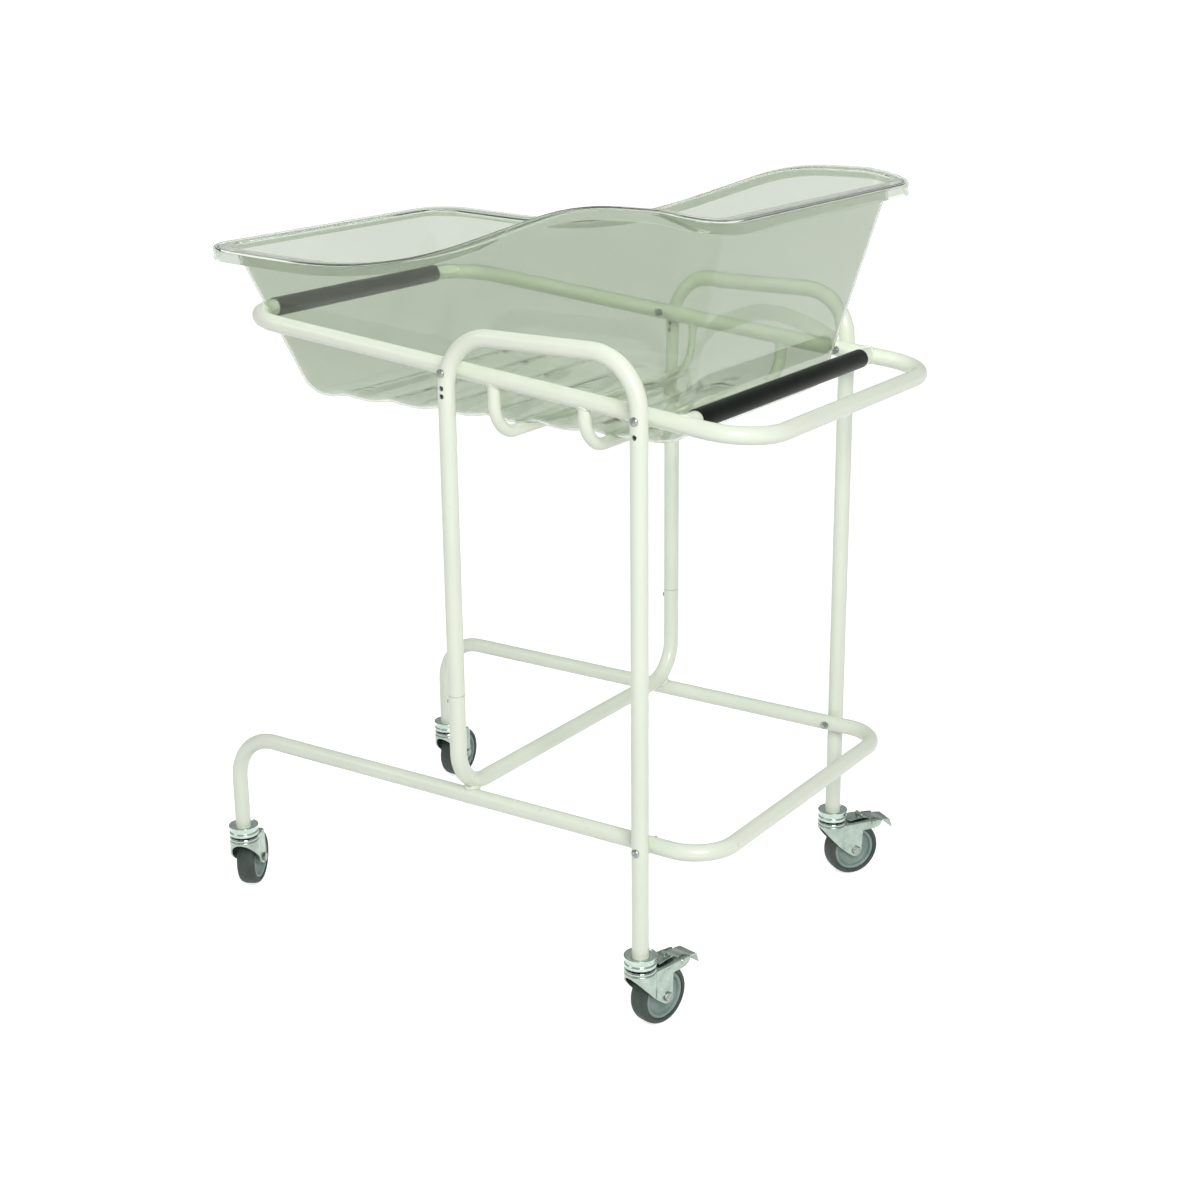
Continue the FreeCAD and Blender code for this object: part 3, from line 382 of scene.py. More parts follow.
def make_materials():
    """Every finish of the object, by a short name."""
    paint = Finish("cream_powder_coat", Coat_Weight=0.35, Coat_Roughness=0.12, IOR=1.5)
    paint.colour(
        paint.noise(9.0, 4.0), (0.30, (0.708, 0.764, 0.655)), (0.70, (0.748, 0.802, 0.692)))
    paint.rough(paint.noise(60.0, 4.0), 0.24, 0.36)
    paint.bump((paint.noise(900.0, 2.0), 0.25, 0.0002), (paint.noise(45.0, 2.0), 0.05, 0.0004))

    # painted shadow: darker paint for the shade in the groove where a foot leg meets its upright
    seam_shadow = Finish("cream_coat_shadow_line", Coat_Weight=0.2, Coat_Roughness=0.2)
    seam_shadow.colour(seam_shadow.noise(120.0, 3.0), (0.3, (0.46, 0.48, 0.40)), (0.7, (0.60, 0.62, 0.53)))
    seam_shadow.rough(seam_shadow.noise(90.0), 0.35, 0.5)

    clear = Finish("clear_polycarbonate", Transmission_Weight=0.97, IOR=1.32)
    clear.colour(
        clear.noise(3.0, 2.0), (0.30, (0.612, 0.658, 0.584)), (0.70, (0.640, 0.684, 0.612)))
    clear.rough(clear.noise(20.0, 4.0), 0.01, 0.035)
    clear.bump((clear.noise(7.0, 2.0), 0.16, 0.002))

    # both stretches run along the sleeve
    rubber = Finish("black_sleeve_rubber", IOR=1.5, Specular_IOR_Level=0.09)
    rubber.colour(
        rubber.noise(30.0, 4.0), (0.35, (0.003, 0.005, 0.003)), (0.70, (0.008, 0.011, 0.008)))
    rubber.rough(rubber.noise(25.0, 3.0, (1.0, 0.08, 1.0)), 0.26, 0.42)
    rubber.bump(
        (rubber.noise(420.0, 2.0, (1.0, 0.02, 1.0)), 0.35, 0.0003),
        (rubber.noise(700.0, 2.0), 0.12, 0.0001))

    zinc = Finish("bright_zinc", Metallic=1.0)
    zinc.colour(
        zinc.noise(70.0, 5.0), (0.25, (0.295, 0.362, 0.318)), (0.55, (0.385, 0.460, 0.408)),
        (0.80, (0.450, 0.526, 0.472)))
    zinc.rough(zinc.noise(160.0, 4.0), 0.20, 0.38)
    zinc.bump((zinc.cells(420.0), 0.10, 0.0001), (zinc.noise(1500.0, 2.0), 0.08, 0.00005))

    chrome = Finish("bright_chrome", Metallic=1.0)
    chrome.colour(chrome.noise(90.0, 4.0), (0.3, (0.40, 0.47, 0.44)), (0.7, (0.50, 0.57, 0.535)))
    chrome.rough(chrome.noise(200.0, 4.0), 0.07, 0.18)
    chrome.bump((chrome.noise(500.0, 3.0, (1.0, 1.0, 4.0)), 0.06, 0.0001))

    cup = Finish("cup_zinc", Metallic=1.0)
    cup.colour(cup.noise(90.0, 4.0), (0.3, (0.44, 0.54, 0.485)), (0.7, (0.53, 0.63, 0.57)))
    cup.rough(cup.noise(200.0, 4.0), 0.16, 0.30)
    cup.bump((cup.noise(500.0, 3.0, (1.0, 1.0, 4.0)), 0.06, 0.0001))

    screw = Finish("screw_steel", Metallic=1.0)
    screw.colour(screw.noise(300.0, 4.0), (0.3, (0.24, 0.27, 0.25)), (0.7, (0.38, 0.41, 0.38)))
    screw.rough(screw.noise(400.0, 3.0), 0.22, 0.42)
    screw.bump((screw.noise(1400.0, 2.0), 0.15, 0.0001))

    hub = Finish("moulded_grey_hub", IOR=1.46)
    hub.colour(
        hub.noise(40.0, 5.0), (0.25, (0.182, 0.248, 0.230)), (0.60, (0.234, 0.310, 0.288)),
        (0.85, (0.286, 0.366, 0.342)))
    hub.rough(hub.noise(120.0, 4.0), 0.36, 0.55)
    hub.bump((hub.noise(900.0, 2.0), 0.18, 0.0001))

    tyre = Finish("grey_rubber_tyre", IOR=1.48)
    tyre.colour(
        tyre.noise(55.0, 6.0, roughness=0.62), (0.22, (0.027, 0.040, 0.033)),
        (0.55, (0.041, 0.059, 0.049)), (0.82, (0.065, 0.085, 0.073)))
    tyre.rough(tyre.noise(90.0, 4.0), 0.48, 0.75)
    tyre.bump((tyre.noise(650.0, 4.0), 0.30, 0.00015), (tyre.noise(60.0, 3.0), 0.08, 0.0005))

    finishes = {
        "paint": paint, "seam_shadow": seam_shadow, "clear": clear, "rubber": rubber, "zinc": zinc,
        "chrome": chrome, "cup": cup, "screw": screw, "hub": hub, "tyre": tyre,
    }
    return {name: finish.material for name, finish in finishes.items()}


LOOK = make_materials()

CAD_LOOKS = {
    "paint": (
        "near_hoop", "far_hoop", "cross_tube", "base_tube", "upper_loop", "head_bar_tube",
        "foot_cradle", "head_cradle"),
    "screw": ("spigots", "spigot_screws"),
}


def dress_cad_nodes():
    """Give every CAD node a finish; the ones not listed are inside casters or aren't shown."""
    looks = {name: look for look, names in CAD_LOOKS.items() for name in names}
    for name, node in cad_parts.items():
        node.data.materials.clear()
        node.data.materials.append(LOOK[looks.get(name, "zinc")])


dress_cad_nodes()


# ---------------------------------------------------------------- tub

FOOT_SLOPE = math.tan(math.radians(27.0))
HEAD_SLOPE = math.tan(math.radians(15.0))
SIDE_SLOPE = math.tan(math.radians(8.0))
TUB_FOOT = 433.4
TUB_HEAD = 144.0
TUB_HALF = 203.0
TUB_CORNER = 36.0
TUB_EDGE = 22.0  # bend between floor and walls
EDGE_INSET = TUB_EDGE * 0.8
EDGE_TURN = math.radians(80.0)
EDGE_RISE = TUB_EDGE * (1 - math.cos(EDGE_TURN))
TUB_WALL = 3.0
RIM_FOOT = 554.0
RIM_HEAD = 245.0
RIM_HALF = 266.0
RIM_CORNER = 62.0
RIM_LIP = 15.0
RIM_BEND = 14.0  # height of the bend from wall to flange
FLANGE_DROP = 1.2  # how far the flange lies below its raised border
BORDER_START, BORDER_TOP = 9.0, 7.6  # where the border rises, inwards from the rim's edge
# Side view of the rim: long slopes joined by wide bends, as (x, height, bend).
RIM_LINE = rounded([
    (-1108.0, 972.3, 0), (-248.0, 933.0, 850.0), (51.0, 1037.0, 560.0), (168.0, 1037.0, 140.0),
    (490.0, 982.6, 0)], steps=24)

# Ribs across the floor; each fade says where the ribs have run out and how long that takes.
RIB_PITCH = 78.0
RIB_START = 22.0
RIB_HEIGHT = 6.0
FOOT_FADE = (-405.0, 45.0)
HEAD_FADE = (118.0, 40.0)

# Points and rows of the tub's mesh.
SIDE_STEPS = 40
END_STEPS = 18
CORNER_STEPS = 10
FLOOR_ROWS = 23
EDGE_ROWS = 6
WALL_ROWS = 18


def rim_height(x):
    """Height of the rim's top at a place along the tub."""
    for (x0, z0), (x1, z1) in zip(RIM_LINE, RIM_LINE[1:]):
        if x <= x1:
            return z0 + (z1 - z0) * (x - x0) / (x1 - x0)
    return RIM_LINE[-1][1]


def plan_line(foot, head, half, corner):
    """Points round a rectangle with round corners, the same count and order for any size."""

    def arc_spot(spot, degrees):
        x, y, start = spot
        angle = math.radians(start + degrees)
        return Vector((x + corner * math.cos(angle), y + corner * math.sin(angle)))

    points = []
    spots = (
        (head - corner, half - corner, 0), (-foot + corner, half - corner, 90),
        (-foot + corner, -half + corner, 180), (head - corner, -half + corner, 270),
    )
    for index, steps in enumerate((SIDE_STEPS, END_STEPS, SIDE_STEPS, END_STEPS)):
        for step in range(CORNER_STEPS + 1):
            points.append(arc_spot(spots[index], 90 * step / CORNER_STEPS))
        source = points[-1].copy()
        target = arc_spot(spots[(index + 1) % len(spots)], 0)
        for step in range(1, steps):
            points.append(source.lerp(target, step / steps))
    return points


def tub_plan(rise, inset=0.0):
    """Plan of the tub's sloping walls at a height over its floor."""
    return plan_line(
        TUB_FOOT + rise * FOOT_SLOPE - inset, TUB_HEAD + rise * HEAD_SLOPE - inset,
        TUB_HALF + rise * SIDE_SLOPE - inset, TUB_CORNER - inset)


WALL_START, WALL_STEP = tub_plan(0.0), tub_plan(1.0)


def wall_spot(column, rise):
    """Where a column of the wall is at a height over the tub's floor."""
    return WALL_START[column] + (WALL_STEP[column] - WALL_START[column]) * rise


def floor_wave(x):
    """Rounded ribs that run right across the tub's floor, fading out before its ends."""
    rib = 1.0 - abs(math.sin(math.pi * (x - RIB_START) / RIB_PITCH)) ** 0.8
    foot = min(max((x - FOOT_FADE[0]) / FOOT_FADE[1], 0.0), 1.0)
    head = min(max((HEAD_FADE[0] - x) / HEAD_FADE[1], 0.0), 1.0)
    return RIB_HEIGHT * rib * (foot * head)


def floor_rows():
    """Rings from the middle of the ribbed floor out to its bent edge."""
    middle = (TUB_HEAD - TUB_FOOT) / 2
    outline = tub_plan(0.0, EDGE_INSET)
    rows = []
    for step in range(FLOOR_ROWS - 1, -1, -1):
        share = 1.0 - step / FLOOR_ROWS
        spots = [(middle + (point.x - middle) * share, point.y * share) for point in outline]
        rows.append([(x, y, TUB_FLOOR + floor_wave(x)) for x, y in spots])
    return rows


def edge_rows():
    """Rings round the bend between floor and walls, where the ribs run out."""
    rows = []
    for step in range(1, EDGE_ROWS + 1):
        angle = EDGE_TURN * step / EDGE_ROWS
        rise = TUB_EDGE * (1 - math.cos(angle))
        plan = tub_plan(rise, EDGE_INSET * (1 - math.sin(angle) / math.sin(EDGE_TURN)))
        fade = 1 - rise / EDGE_RISE
        rows.append([(p.x, p.y, TUB_FLOOR + rise + fade * floor_wave(p.x)) for p in plan])
    return rows


def wall_top(column):
    """How high over the floor a column of the sloping wall meets the wavy rim."""
    rise = 200.0  # a first guess, which settles in a few rounds
    for _ in range(12):
        rise = rim_height(wall_spot(column, rise).x) - TUB_FLOOR
    return rise


def wall_rows(tops):
    rows = []
    for step in range(1, WALL_ROWS + 1):
        row = []
        for column, top in enumerate(tops):
            rise = EDGE_RISE + (top - RIM_BEND - EDGE_RISE) * step / WALL_ROWS
            spot = wall_spot(column, rise)
            row.append((spot.x, spot.y, TUB_FLOOR + rise))
        rows.append(row)
    return rows


def flange_rows(tops):
    """Rings over the flange and down the lip, from (reach outwards, height) lines per column."""
    lines = []
    for column, rim in enumerate(plan_line(RIM_FOOT, RIM_HEAD, RIM_HALF, RIM_CORNER)):
        top = wall_spot(column, tops[column])
        span = (rim - top).length
        line = rounded([
            (0, -RIM_BEND, 0), (0, -FLANGE_DROP, 11.0), (span - BORDER_START, -FLANGE_DROP, 2.0),
            (span - BORDER_TOP, 0, 2.0), (span, 0, 5.0), (span, -RIM_LIP, 0)], steps=5)
        lines.append((top, (rim - top) / span, line))
    rows = []
    for index in range(1, len(lines[0][2])):
        row = []
        for top, outward, line in lines:
            reach, height = line[index]
            spot = top + outward * reach
            row.append((spot.x, spot.y, rim_height(spot.x) + height))
        rows.append(row)
    return rows


def make_tub():
    """Clear tub, drawn as its outer skin from the floor up over the flange and down the lip."""
    columns = len(WALL_START)
    tops = [wall_top(column) for column in range(columns)]
    rows = floor_rows() + edge_rows() + wall_rows(tops) + flange_rows(tops)
    verts = [vert for row in rows for vert in row]
    faces = grid_faces(len(rows), columns, close_columns=True)
    faces.append(tuple(range(columns)))
    tub = piece(
        "tub_clear_shell", (verts, faces), LOOK["clear"], "tub_plastic", "tub", ["tub_shell"],
        sharp=60.0, modifiers=[thickness(TUB_WALL), edge_bevel(1.1, 3)])
    tub.visible_shadow = False  # lamps shine through the clear shell


make_tub()


# ---------------------------------------------------------------- sleeves, fasteners and welds

SLEEVE = 12.7  # outer radius of the black sleeves
SLEEVE_BORE = 11.1
FLUTES = 40
FLUTE_DEPTH = 0.22
FLUTED_FROM = 12.0  # radius that tells the sleeve's outside from its bore
FASTENER_SPOTS = {
    "loop": [(-LEG_X, loop_z(-LEG_X)), (LEG_X, loop_z(LEG_X))],
    "base": [(LEG_X, RAIL_HEIGHT)],
}
BOLT_SPINS = (38.0, 52.0, -40.0, 47.0, 24.0, 61.0)  # degrees, in the order the bolts are made
NUT_SPIN = 14.0
NUT_HEIGHT = 5.0
JOINT_HEIGHT = 400.0  # where the foot legs meet the cross tube's uprights
JOINT_LINE = 0.65  # half the height of the painted shadow line there


def on_loop(x):
    """Placement in the loop's tilted plane at a distance along it."""
    tilt = Matrix.Translation((0, 0, LOOP_HEIGHT)) @ Matrix.Rotation(LOOP_TILT, 4, "Y")
    return tilt @ Matrix.Translation((x, 0, 0))


def make_sleeve(name, x, length):
    """Black fluted sleeve pushed over a tube."""
    verts, faces = across(turned([
        (SLEEVE_BORE, -length / 2, 0.4), (SLEEVE, -length / 2, 0.7), (SLEEVE, length / 2, 0.7),
        (SLEEVE_BORE, length / 2, 0.4)], 240, steps=4), 0, 0)
    fluted = []
    for px, py, pz in verts:
        radius = math.hypot(px, pz)
        if radius > FLUTED_FROM:
            wave = 1 - abs(math.cos(FLUTES / 2 * math.atan2(pz, px)))
            share = (radius - FLUTE_DEPTH * wave ** 2) / radius
            px *= share
            pz *= share
        fluted.append((px, py, pz))
    piece(
        name + "_ribbed", mapped((fluted, faces), on_loop(x)), LOOK["rubber"], "sleeve_rubber",
        "frame", [name], sharp=50.0)


make_sleeve("foot_sleeve", -LOOP_FOOT, 349.6)
make_sleeve("head_sleeve", HEAD_BAR, 427.6)


def cut_slot(shape, width, depth, top):
    """Saw a screwdriver slot across a head that points along +Z."""
    corners = [
        (x, y * width / 2, z) for z in (top - depth, top + 5)
        for x, y in ((-20, -1), (20, -1), (20, 1), (-20, 1))]
    block = (corners, [
        (3, 2, 1, 0), (4, 5, 6, 7), (0, 1, 5, 4), (1, 2, 6, 5), (2, 3, 7, 6), (3, 0, 4, 7)])
    gap = 0.0001  # millimetres, as these meshes never reach the frame
    items = []
    for name, (verts, faces) in (("slot_head", shape), ("slot_blade", block)):
        mesh = bpy.data.meshes.new(name)
        mesh.from_pydata(verts, [], faces)
        clean(mesh, gap)
        items.append(placed(name, mesh))
    head, blade = items
    cut = head.modifiers.new("Cut", "BOOLEAN")
    cut.object = blade
    cut.solver = "EXACT"
    depsgraph = bpy.context.evaluated_depsgraph_get()
    result = bpy.data.meshes.new_from_object(head.evaluated_get(depsgraph))
    slotted = [tuple(v.co) for v in result.vertices], [tuple(f.vertices) for f in result.polygons]
    meshes = [head.data, blade.data, result]
    for item in items:
        bpy.data.objects.remove(item)
    for mesh in meshes:
        bpy.data.meshes.remove(mesh)
    return slotted


def round_head(radius, height):
    """Slotted round head that sits on Z = 0 and points along +Z."""
    return cut_slot(turned([
        (0, 0, 0), (radius, 0, 0.3), (radius, height * 0.42, 0.8),
        (radius * 0.72, height * 0.9, 3.0), (0, height, 0)], 48, closed=False), 1.5, 1.3, height)


def make_fasteners():
    """Slotted bolts through the hoops into the loop and the base, and their nuts inside."""
    shank = turned([
        (0, 0.05, 0), (3.0, 0.05, 0), (3.0, -51.0, 0.5), (2.5, -51.7, 0.3), (0, -51.7, 0)],
        32, closed=False)
    bolt = joined(round_head(5.5, 3.2), shank)
    nut = hexagon(10.0, NUT_HEIGHT, 0.35, bore=3.05)
    spins = iter(BOLT_SPINS)
    for kind, spots in FASTENER_SPOTS.items():
        bolts = []
        nuts = []
        for sign in SIDES:
            outside, inside = sign * (HOOP_HALF + TUBE), sign * (RAIL_HALF - TUBE - NUT_HEIGHT)
            for x, z in spots:
                bolts.append(facing(bolt, x, outside, z, sign, next(spins)))
                nuts.append(facing(nut, x, inside, z, sign, NUT_SPIN))
        piece(
            kind + "_slotted_bolts", joined(*bolts), LOOK["screw"], "bolt_steel", "frame",
            [kind + "_bolts"], sharp=30.0)
        piece(
            kind + "_hexagon_nuts", joined(*nuts), LOOK["screw"], "bolt_steel", "frame",
            [kind + "_nuts"], sharp=25.0)


make_fasteners()


def saddle(base, along, side, branch, branch_radius):
    """Where a branch tube's wall meets a main tube's wall."""
    base, along, side, branch = (Vector(v) for v in (base, along, side, branch))
    steps = 40
    line = []
    for step in range(steps):
        angle = 2 * math.pi * step / steps
        sideways = branch_radius * math.sin(angle)
        out = math.sqrt(max(TUBE * TUBE - sideways * sideways, 0.0))
        line.append(
            base + along * (branch_radius * math.cos(angle)) + side * sideways + branch * out)
    return line


def crossing_bead(sign):
    """Weld ring in the wedge where the cross tube's bend rests on the rail."""
    run = RAIL_HALF - (HOOP_HALF - CROSS_TURN)
    reach = CROSS_TURN + 2 * TUBE
    drop = math.sqrt(reach ** 2 - run ** 2)
    toward = Vector((0, sign * run / reach, -drop / reach))
    along = Vector((0, sign * drop / reach, run / reach))
    touch = Vector((-LEG_X, sign * RAIL_HALF, RAIL_HEIGHT)) - toward * TUBE
    ring, steps = 8.4, 48
    thick, wobble = 2.9, 0.1
    line = []
    for step in range(steps):
        turn = math.tau * step / steps
        side, front = ring * math.cos(turn), ring * math.sin(turn)
        sink = math.sqrt(TUBE ** 2 - side ** 2) - math.sqrt(TUBE ** 2 - front ** 2)
        line.append(touch + Vector((side, 0, 0)) + along * front + toward * (sink / 2))
    return bead(line, thick, wobble)


def make_welds():
    """Beads at the head bar's ends, the cradles' tops and the cross tube's bends."""
    beads = []
    slope = Vector((math.cos(LOOP_TILT), 0, -math.sin(LOOP_TILT)))
    rise = Vector((math.sin(LOOP_TILT), 0, math.cos(LOOP_TILT)))
    for sign in SIDES:
        bar = slope * HEAD_BAR + Vector((0, sign * RAIL_HALF, LOOP_HEIGHT))
        beads.append(bead(saddle(bar, slope, rise, (0, -sign, 0), 11.3), 1.5, 0.16))
        for x in CRADLES:
            base = (x, sign * RAIL_HALF, loop_z(x))
            beads.append(bead(saddle(base, slope, (0, 1, 0), (0, 0, -1), 8.3), 1.4, 0.16))
        beads.append(crossing_bead(sign))
    piece("painted_weld_beads", joined(*beads), LOOK["paint"], "frame_paint", "frame", sharp=70.0)


make_welds()


def make_leg_seam_shadows():
    """Thin ring of darker paint where each foot leg meets the cross tube's upright: a painted
    shadow that stands in for the shade in the joint's groove.
    """
    low, high = JOINT_HEIGHT - JOINT_LINE, JOINT_HEIGHT + JOINT_LINE
    inner, outer = TUBE - 0.1, TUBE + 0.12
    ring = turned([
        (inner, low, 0), (outer, low, 0.1), (outer, high, 0.1), (inner, high, 0)], 64, steps=2)
    rings = [moved(ring, -LEG_X, sign * HOOP_HALF) for sign in SIDES]
    piece("leg_joint_shadow_lines", joined(*rings), LOOK["seam_shadow"], "frame_paint", "frame")


make_leg_seam_shadows()


# ---------------------------------------------------------------- casters

# A caster's own axes: kingpin on Z at x = y = 0, fork trailing along +X, axle along Y.
AXLE = (32.0, 40.0)
CHEEK = 17.5  # from the middle to each cheek of the fork
SKIRT = 21.3  # radius of the fork's round front
NOSE_TURN = 124.7  # degrees of that round on each side
NOSE_STEPS = 21
FORK_TOP = 84.6
FORK_BACK = 41.0  # end of a fork without a brake
ARM_BACK = 75.0  # end of a braked fork's rear arms
ARM_LEVEL = 66.5
TIP_START, TIP_DROP = 66.0, 1.8  # where a rear arm's top starts to curve down, and by how much
BACK_ROUND = 6.0  # rounding of the upper back corner of a fork without a brake
BRIDGE_BACK = 52.0  # how far a braked fork's crown runs back between its arms
FOLD = 2.6  # rounding of the fork's top edge
FOLD_STEPS = 5
LOWER_ROWS = 14
UPPER_ROWS = 8
SKIRT_EDGE = (  # lower edge of the fork's side, as (x, height)
    (-21.3, 80.0), (-18.0, 75.5), (-13.0, 69.0), (-6.0, 61.0), (3.5, 51.0), (14.0, 41.8),
    (22.0, 35.6), (26.0, 32.8), (29.0, 31.4), (32.0, 31.0), (35.5, 31.8), (38.5, 34.0),
    (40.3, 36.8), (41.0, 40.0),
)
ARM_EDGE = (  # lower edge of a braked fork's rear arm
    (41.0, 66.5), (42.3, 69.2), (45.5, 70.5), (60.0, 70.6), (66.0, 71.6), (71.5, 74.5),
    (74.3, 79.0), (75.0, 81.5),
)


def skirt_path(reach):
    """Half of the fork's plan: round the front of the crown, then straight back along a cheek."""
    path = []
    for step in range(NOSE_STEPS + 1):
        angle = math.radians(180.0 - NOSE_TURN * step / NOSE_STEPS)
        path.append((SKIRT * math.cos(angle), SKIRT * math.sin(angle)))
    path.append((14.5, CHEEK + 0.02))
    x = 17.0
    while x < reach - 0.01:
        path.append((x, CHEEK))
        x += 1.5
    path.append((reach, CHEEK))
    return path


def fork_levels(x, braked):
    """Heights of a column of the fork's side up to its folded top edge, and its top."""
    crest = FORK_TOP
    if braked and x > FORK_BACK:
        crest -= TIP_DROP * max(0.0, (x - TIP_START) / (ARM_BACK - TIP_START)) ** 2
        split = eased(ARM_EDGE, x)
        lower = [split] * LOWER_ROWS
    else:
        low = eased(SKIRT_EDGE, x)
        split = max(low, ARM_LEVEL)
        past = x - FORK_BACK + BACK_ROUND
        if not braked and past > 0:
            crest -= BACK_ROUND - math.sqrt(max(BACK_ROUND ** 2 - past ** 2, 0.0))
            split = min(split, crest - FOLD)
        lower = [low + (split - low) * step / LOWER_ROWS for step in range(LOWER_ROWS)]
    rise = crest - FOLD - split
    return lower + [split + rise * step / UPPER_ROWS for step in range(UPPER_ROWS + 1)], crest


def make_fork_shape(braked):
    """Pressed fork as a thin surface, which gets its thickness later."""
    path = skirt_path(ARM_BACK if braked else FORK_BACK)
    verts = []
    crests = []
    for index, (x, y) in enumerate(path):
        before = Vector(path[max(index - 1, 0)])
        after = Vector(path[min(index + 1, len(path) - 1)])
        inward = Vector(((after - before).y, -(after - before).x)).normalized()
        levels, crest = fork_levels(x, braked)
        verts += [(x, y, z) for z in levels]
        for step in range(1, FOLD_STEPS + 1):
            angle = math.radians(90.0 * step / FOLD_STEPS)
            shift = inward * (FOLD * (1 - math.cos(angle)))
            verts.append((x + shift.x, y + shift.y, crest - FOLD + FOLD * math.sin(angle)))
        crests.append(crest)
    height = len(verts) // len(path)
    faces = grid_faces(len(path), height)

    # the crown's flat top, from the folded edge in to the middle line
    bridge_end = BRIDGE_BACK if braked else FORK_BACK
    ridge = []
    for (x, _), crest in zip(path, crests):
        if x > bridge_end:
            break
        ridge.append(len(verts))
        verts.append((max(x, -SKIRT + FOLD), 0.0, crest))
    for index in range(len(ridge) - 1):
        a = index * height + height - 1
        b = (index + 1) * height + height - 1
        faces.append((a, b, ridge[index + 1], ridge[index]))
    mirrored = [(x, -y, z) for x, y, z in verts]
    return joined((verts, faces), (mirrored, [tuple(reversed(face)) for face in faces]))


def disc_mark(x, z, radius, height, sign):
    """A small pressed rivet head on the outside of a cheek."""
    dome = turned([
        (radius, 0, 0), (radius, height * 0.6, 0.5), (radius * 0.5, height, 1.0), (0, height, 0)],
        24, closed=False)
    return facing(dome, x, sign * CHEEK, z, sign, 0)


def at_axle(shape):
    """A shape made about the origin, moved to the wheel's axle."""
    return [(x + AXLE[0], y, z + AXLE[1]) for x, y, z in shape[0]], shape[1]


FORKS = {braked: make_fork_shape(braked) for braked in (False, True)}
RIVETS = joined(*(disc_mark(34.0, 77.6, 2.2, 0.7, sign) for sign in SIDES))
CROWN_BAND = turned([
    (8.0, 84.3, 0), (19.4, 84.3, 0.4), (20.9, 85.0, 0.9), (21.2, 86.8, 1.2), (20.4, 88.6, 1.2),
    (18.6, 89.0, 0.6), (12.0, 89.0, 1.0), (10.0, 86.0, 1.0), (6.0, 85.6, 0), (6.0, 84.3, 0)],
    96, steps=5)
CUP = turned([
    (5.2, 94.2, 0), (18.0, 94.2, 0.6), (18.6, 91.4, 0.5), (20.6, 91.5, 1.2), (21.3, 93.6, 1.6),
    (21.0, 96.0, 1.4), (19.3, 97.6, 1.2), (19.6, 99.6, 1.5), (21.5, 105.0, 0.5), (21.4, 106.0, 0.4),
    (20.6, 106.0, 0.3), (19.0, 103.9, 1.5), (14.5, 103.2, 2.0), (11.2, 103.4, 0.3),
    (11.2, 100.05, 0), (5.2, 100.0, 0)], 96)
HUB = across(turned([
    (6.1, -12.0, 0.3), (10.0, -12.0, 0.8), (10.6, -6.2, 1.5), (14.0, -4.6, 2.0), (22.5, -4.6, 3.0),
    (26.0, -7.5, 1.2), (26.9, -11.2, 1.0), (28.2, -12.2, 0.9), (30.2, -12.2, 0.9),
    (31.0, -11.3, 0.6), (31.5, -11.0, 0), (31.5, 11.0, 0), (31.0, 11.3, 0.6), (30.2, 12.2, 0.9),
    (28.2, 12.2, 0.9), (26.9, 11.2, 1.0), (26.0, 7.5, 1.2), (22.5, 4.6, 3.0), (14.0, 4.6, 2.0),
    (10.6, 6.2, 1.5), (10.0, 12.0, 0.8), (6.1, 12.0, 0.3)], 120, steps=5), *AXLE)
TYRE = across(turned([
    (31.6, -10.8, 0), (31.8, -12.2, 0.4), (33.2, -13.2, 1.0), (35.2, -13.4, 1.6),
    (37.6, -12.2, 3.0), (39.4, -8.8, 4.0), (40.0, -5.0, 4.0), (40.0, 5.0, 4.0), (39.4, 8.8, 4.0),
    (37.6, 12.2, 3.0), (35.2, 13.4, 1.6), (33.2, 13.2, 1.0), (31.8, 12.2, 0.4), (31.6, 10.8, 0)],
    144, steps=5), *AXLE)
AXLE_BOLT = at_axle(joined(
    facing(hexagon(12.0, 3.5, 0.4), 0, -CHEEK - 0.02, 0, -1, 10.0),
    across(turned([
        (0, -CHEEK, 0), (4.0, -CHEEK, 0), (4.0, 21.3, 0.7), (3.2, 22.2, 0.3), (0, 22.2, 0)],
        40, closed=False), 0, 0)))
AXLE_NUT = at_axle(facing(hexagon(12.0, 3.5, 0.4, bore=4.0), 0, CHEEK + 0.02, 0, 1, 22.0))


def make_pedal_plate():
    """Lever and embossed tip plate, as a thin surface that gets its thickness later."""
    lever = rounded([
        (57.0, 84.6, 0), (60.0, 85.4, 4.0), (66.5, 84.4, 6.0), (77.0, 81.4, 6.0), (89.2, 79.7, 2.2),
        (93.8, 66.8, 0)])
    spacing = 1.2
    line = []
    for (x0, z0), (x1, z1) in zip(lever, lever[1:]):
        parts = max(1, int(math.hypot(x1 - x0, z1 - z0) / spacing))
        for step in range(parts):
            line.append((x0 + (x1 - x0) * step / parts, z0 + (z1 - z0) * step / parts))
    line.append(lever[-1])
    narrow, wide = 22.0, 29.0
    narrow_to, wide_from = 70.0, 76.0
    bent_end = 8  # points in the bent-down tip
    field_start, field_end, field_margin, field_depth = 77.5, 88.6, 2.6, 0.9
    front_slope, slope = 2.2, 1.6

    def width(index):
        x = line[index][0]
        if x > wide_from or index > len(line) - bent_end:
            return wide
        return narrow + (wide - narrow) * max(0.0, (x - narrow_to) / (wide_from - narrow_to)) ** 2

    def emboss(index, y, half):
        x = line[index][0]
        inside = min(
            (x - field_start) / front_slope, (field_end - x) / slope,
            (half - field_margin - abs(y)) / slope, 1.0)
        return -field_depth * max(0.0, inside)

    return sheet_strip(line, width, emboss, 26)


def pedal_flange(sign):
    """Side cheek of the pedal's lever."""
    outline = rounded([
        (58.0, 78.0, 1.0), (66.0, 76.6, 3.0), (75.4, 73.6, 2.0), (77.0, 76.0, 2.0),
        (77.0, 80.4, 0.8), (66.0, 83.4, 3.0), (60.0, 84.2, 1.0)], closed=True, steps=4)
    return plate(outline, sign * 11.4 - 0.7, sign * 11.4 + 0.7)


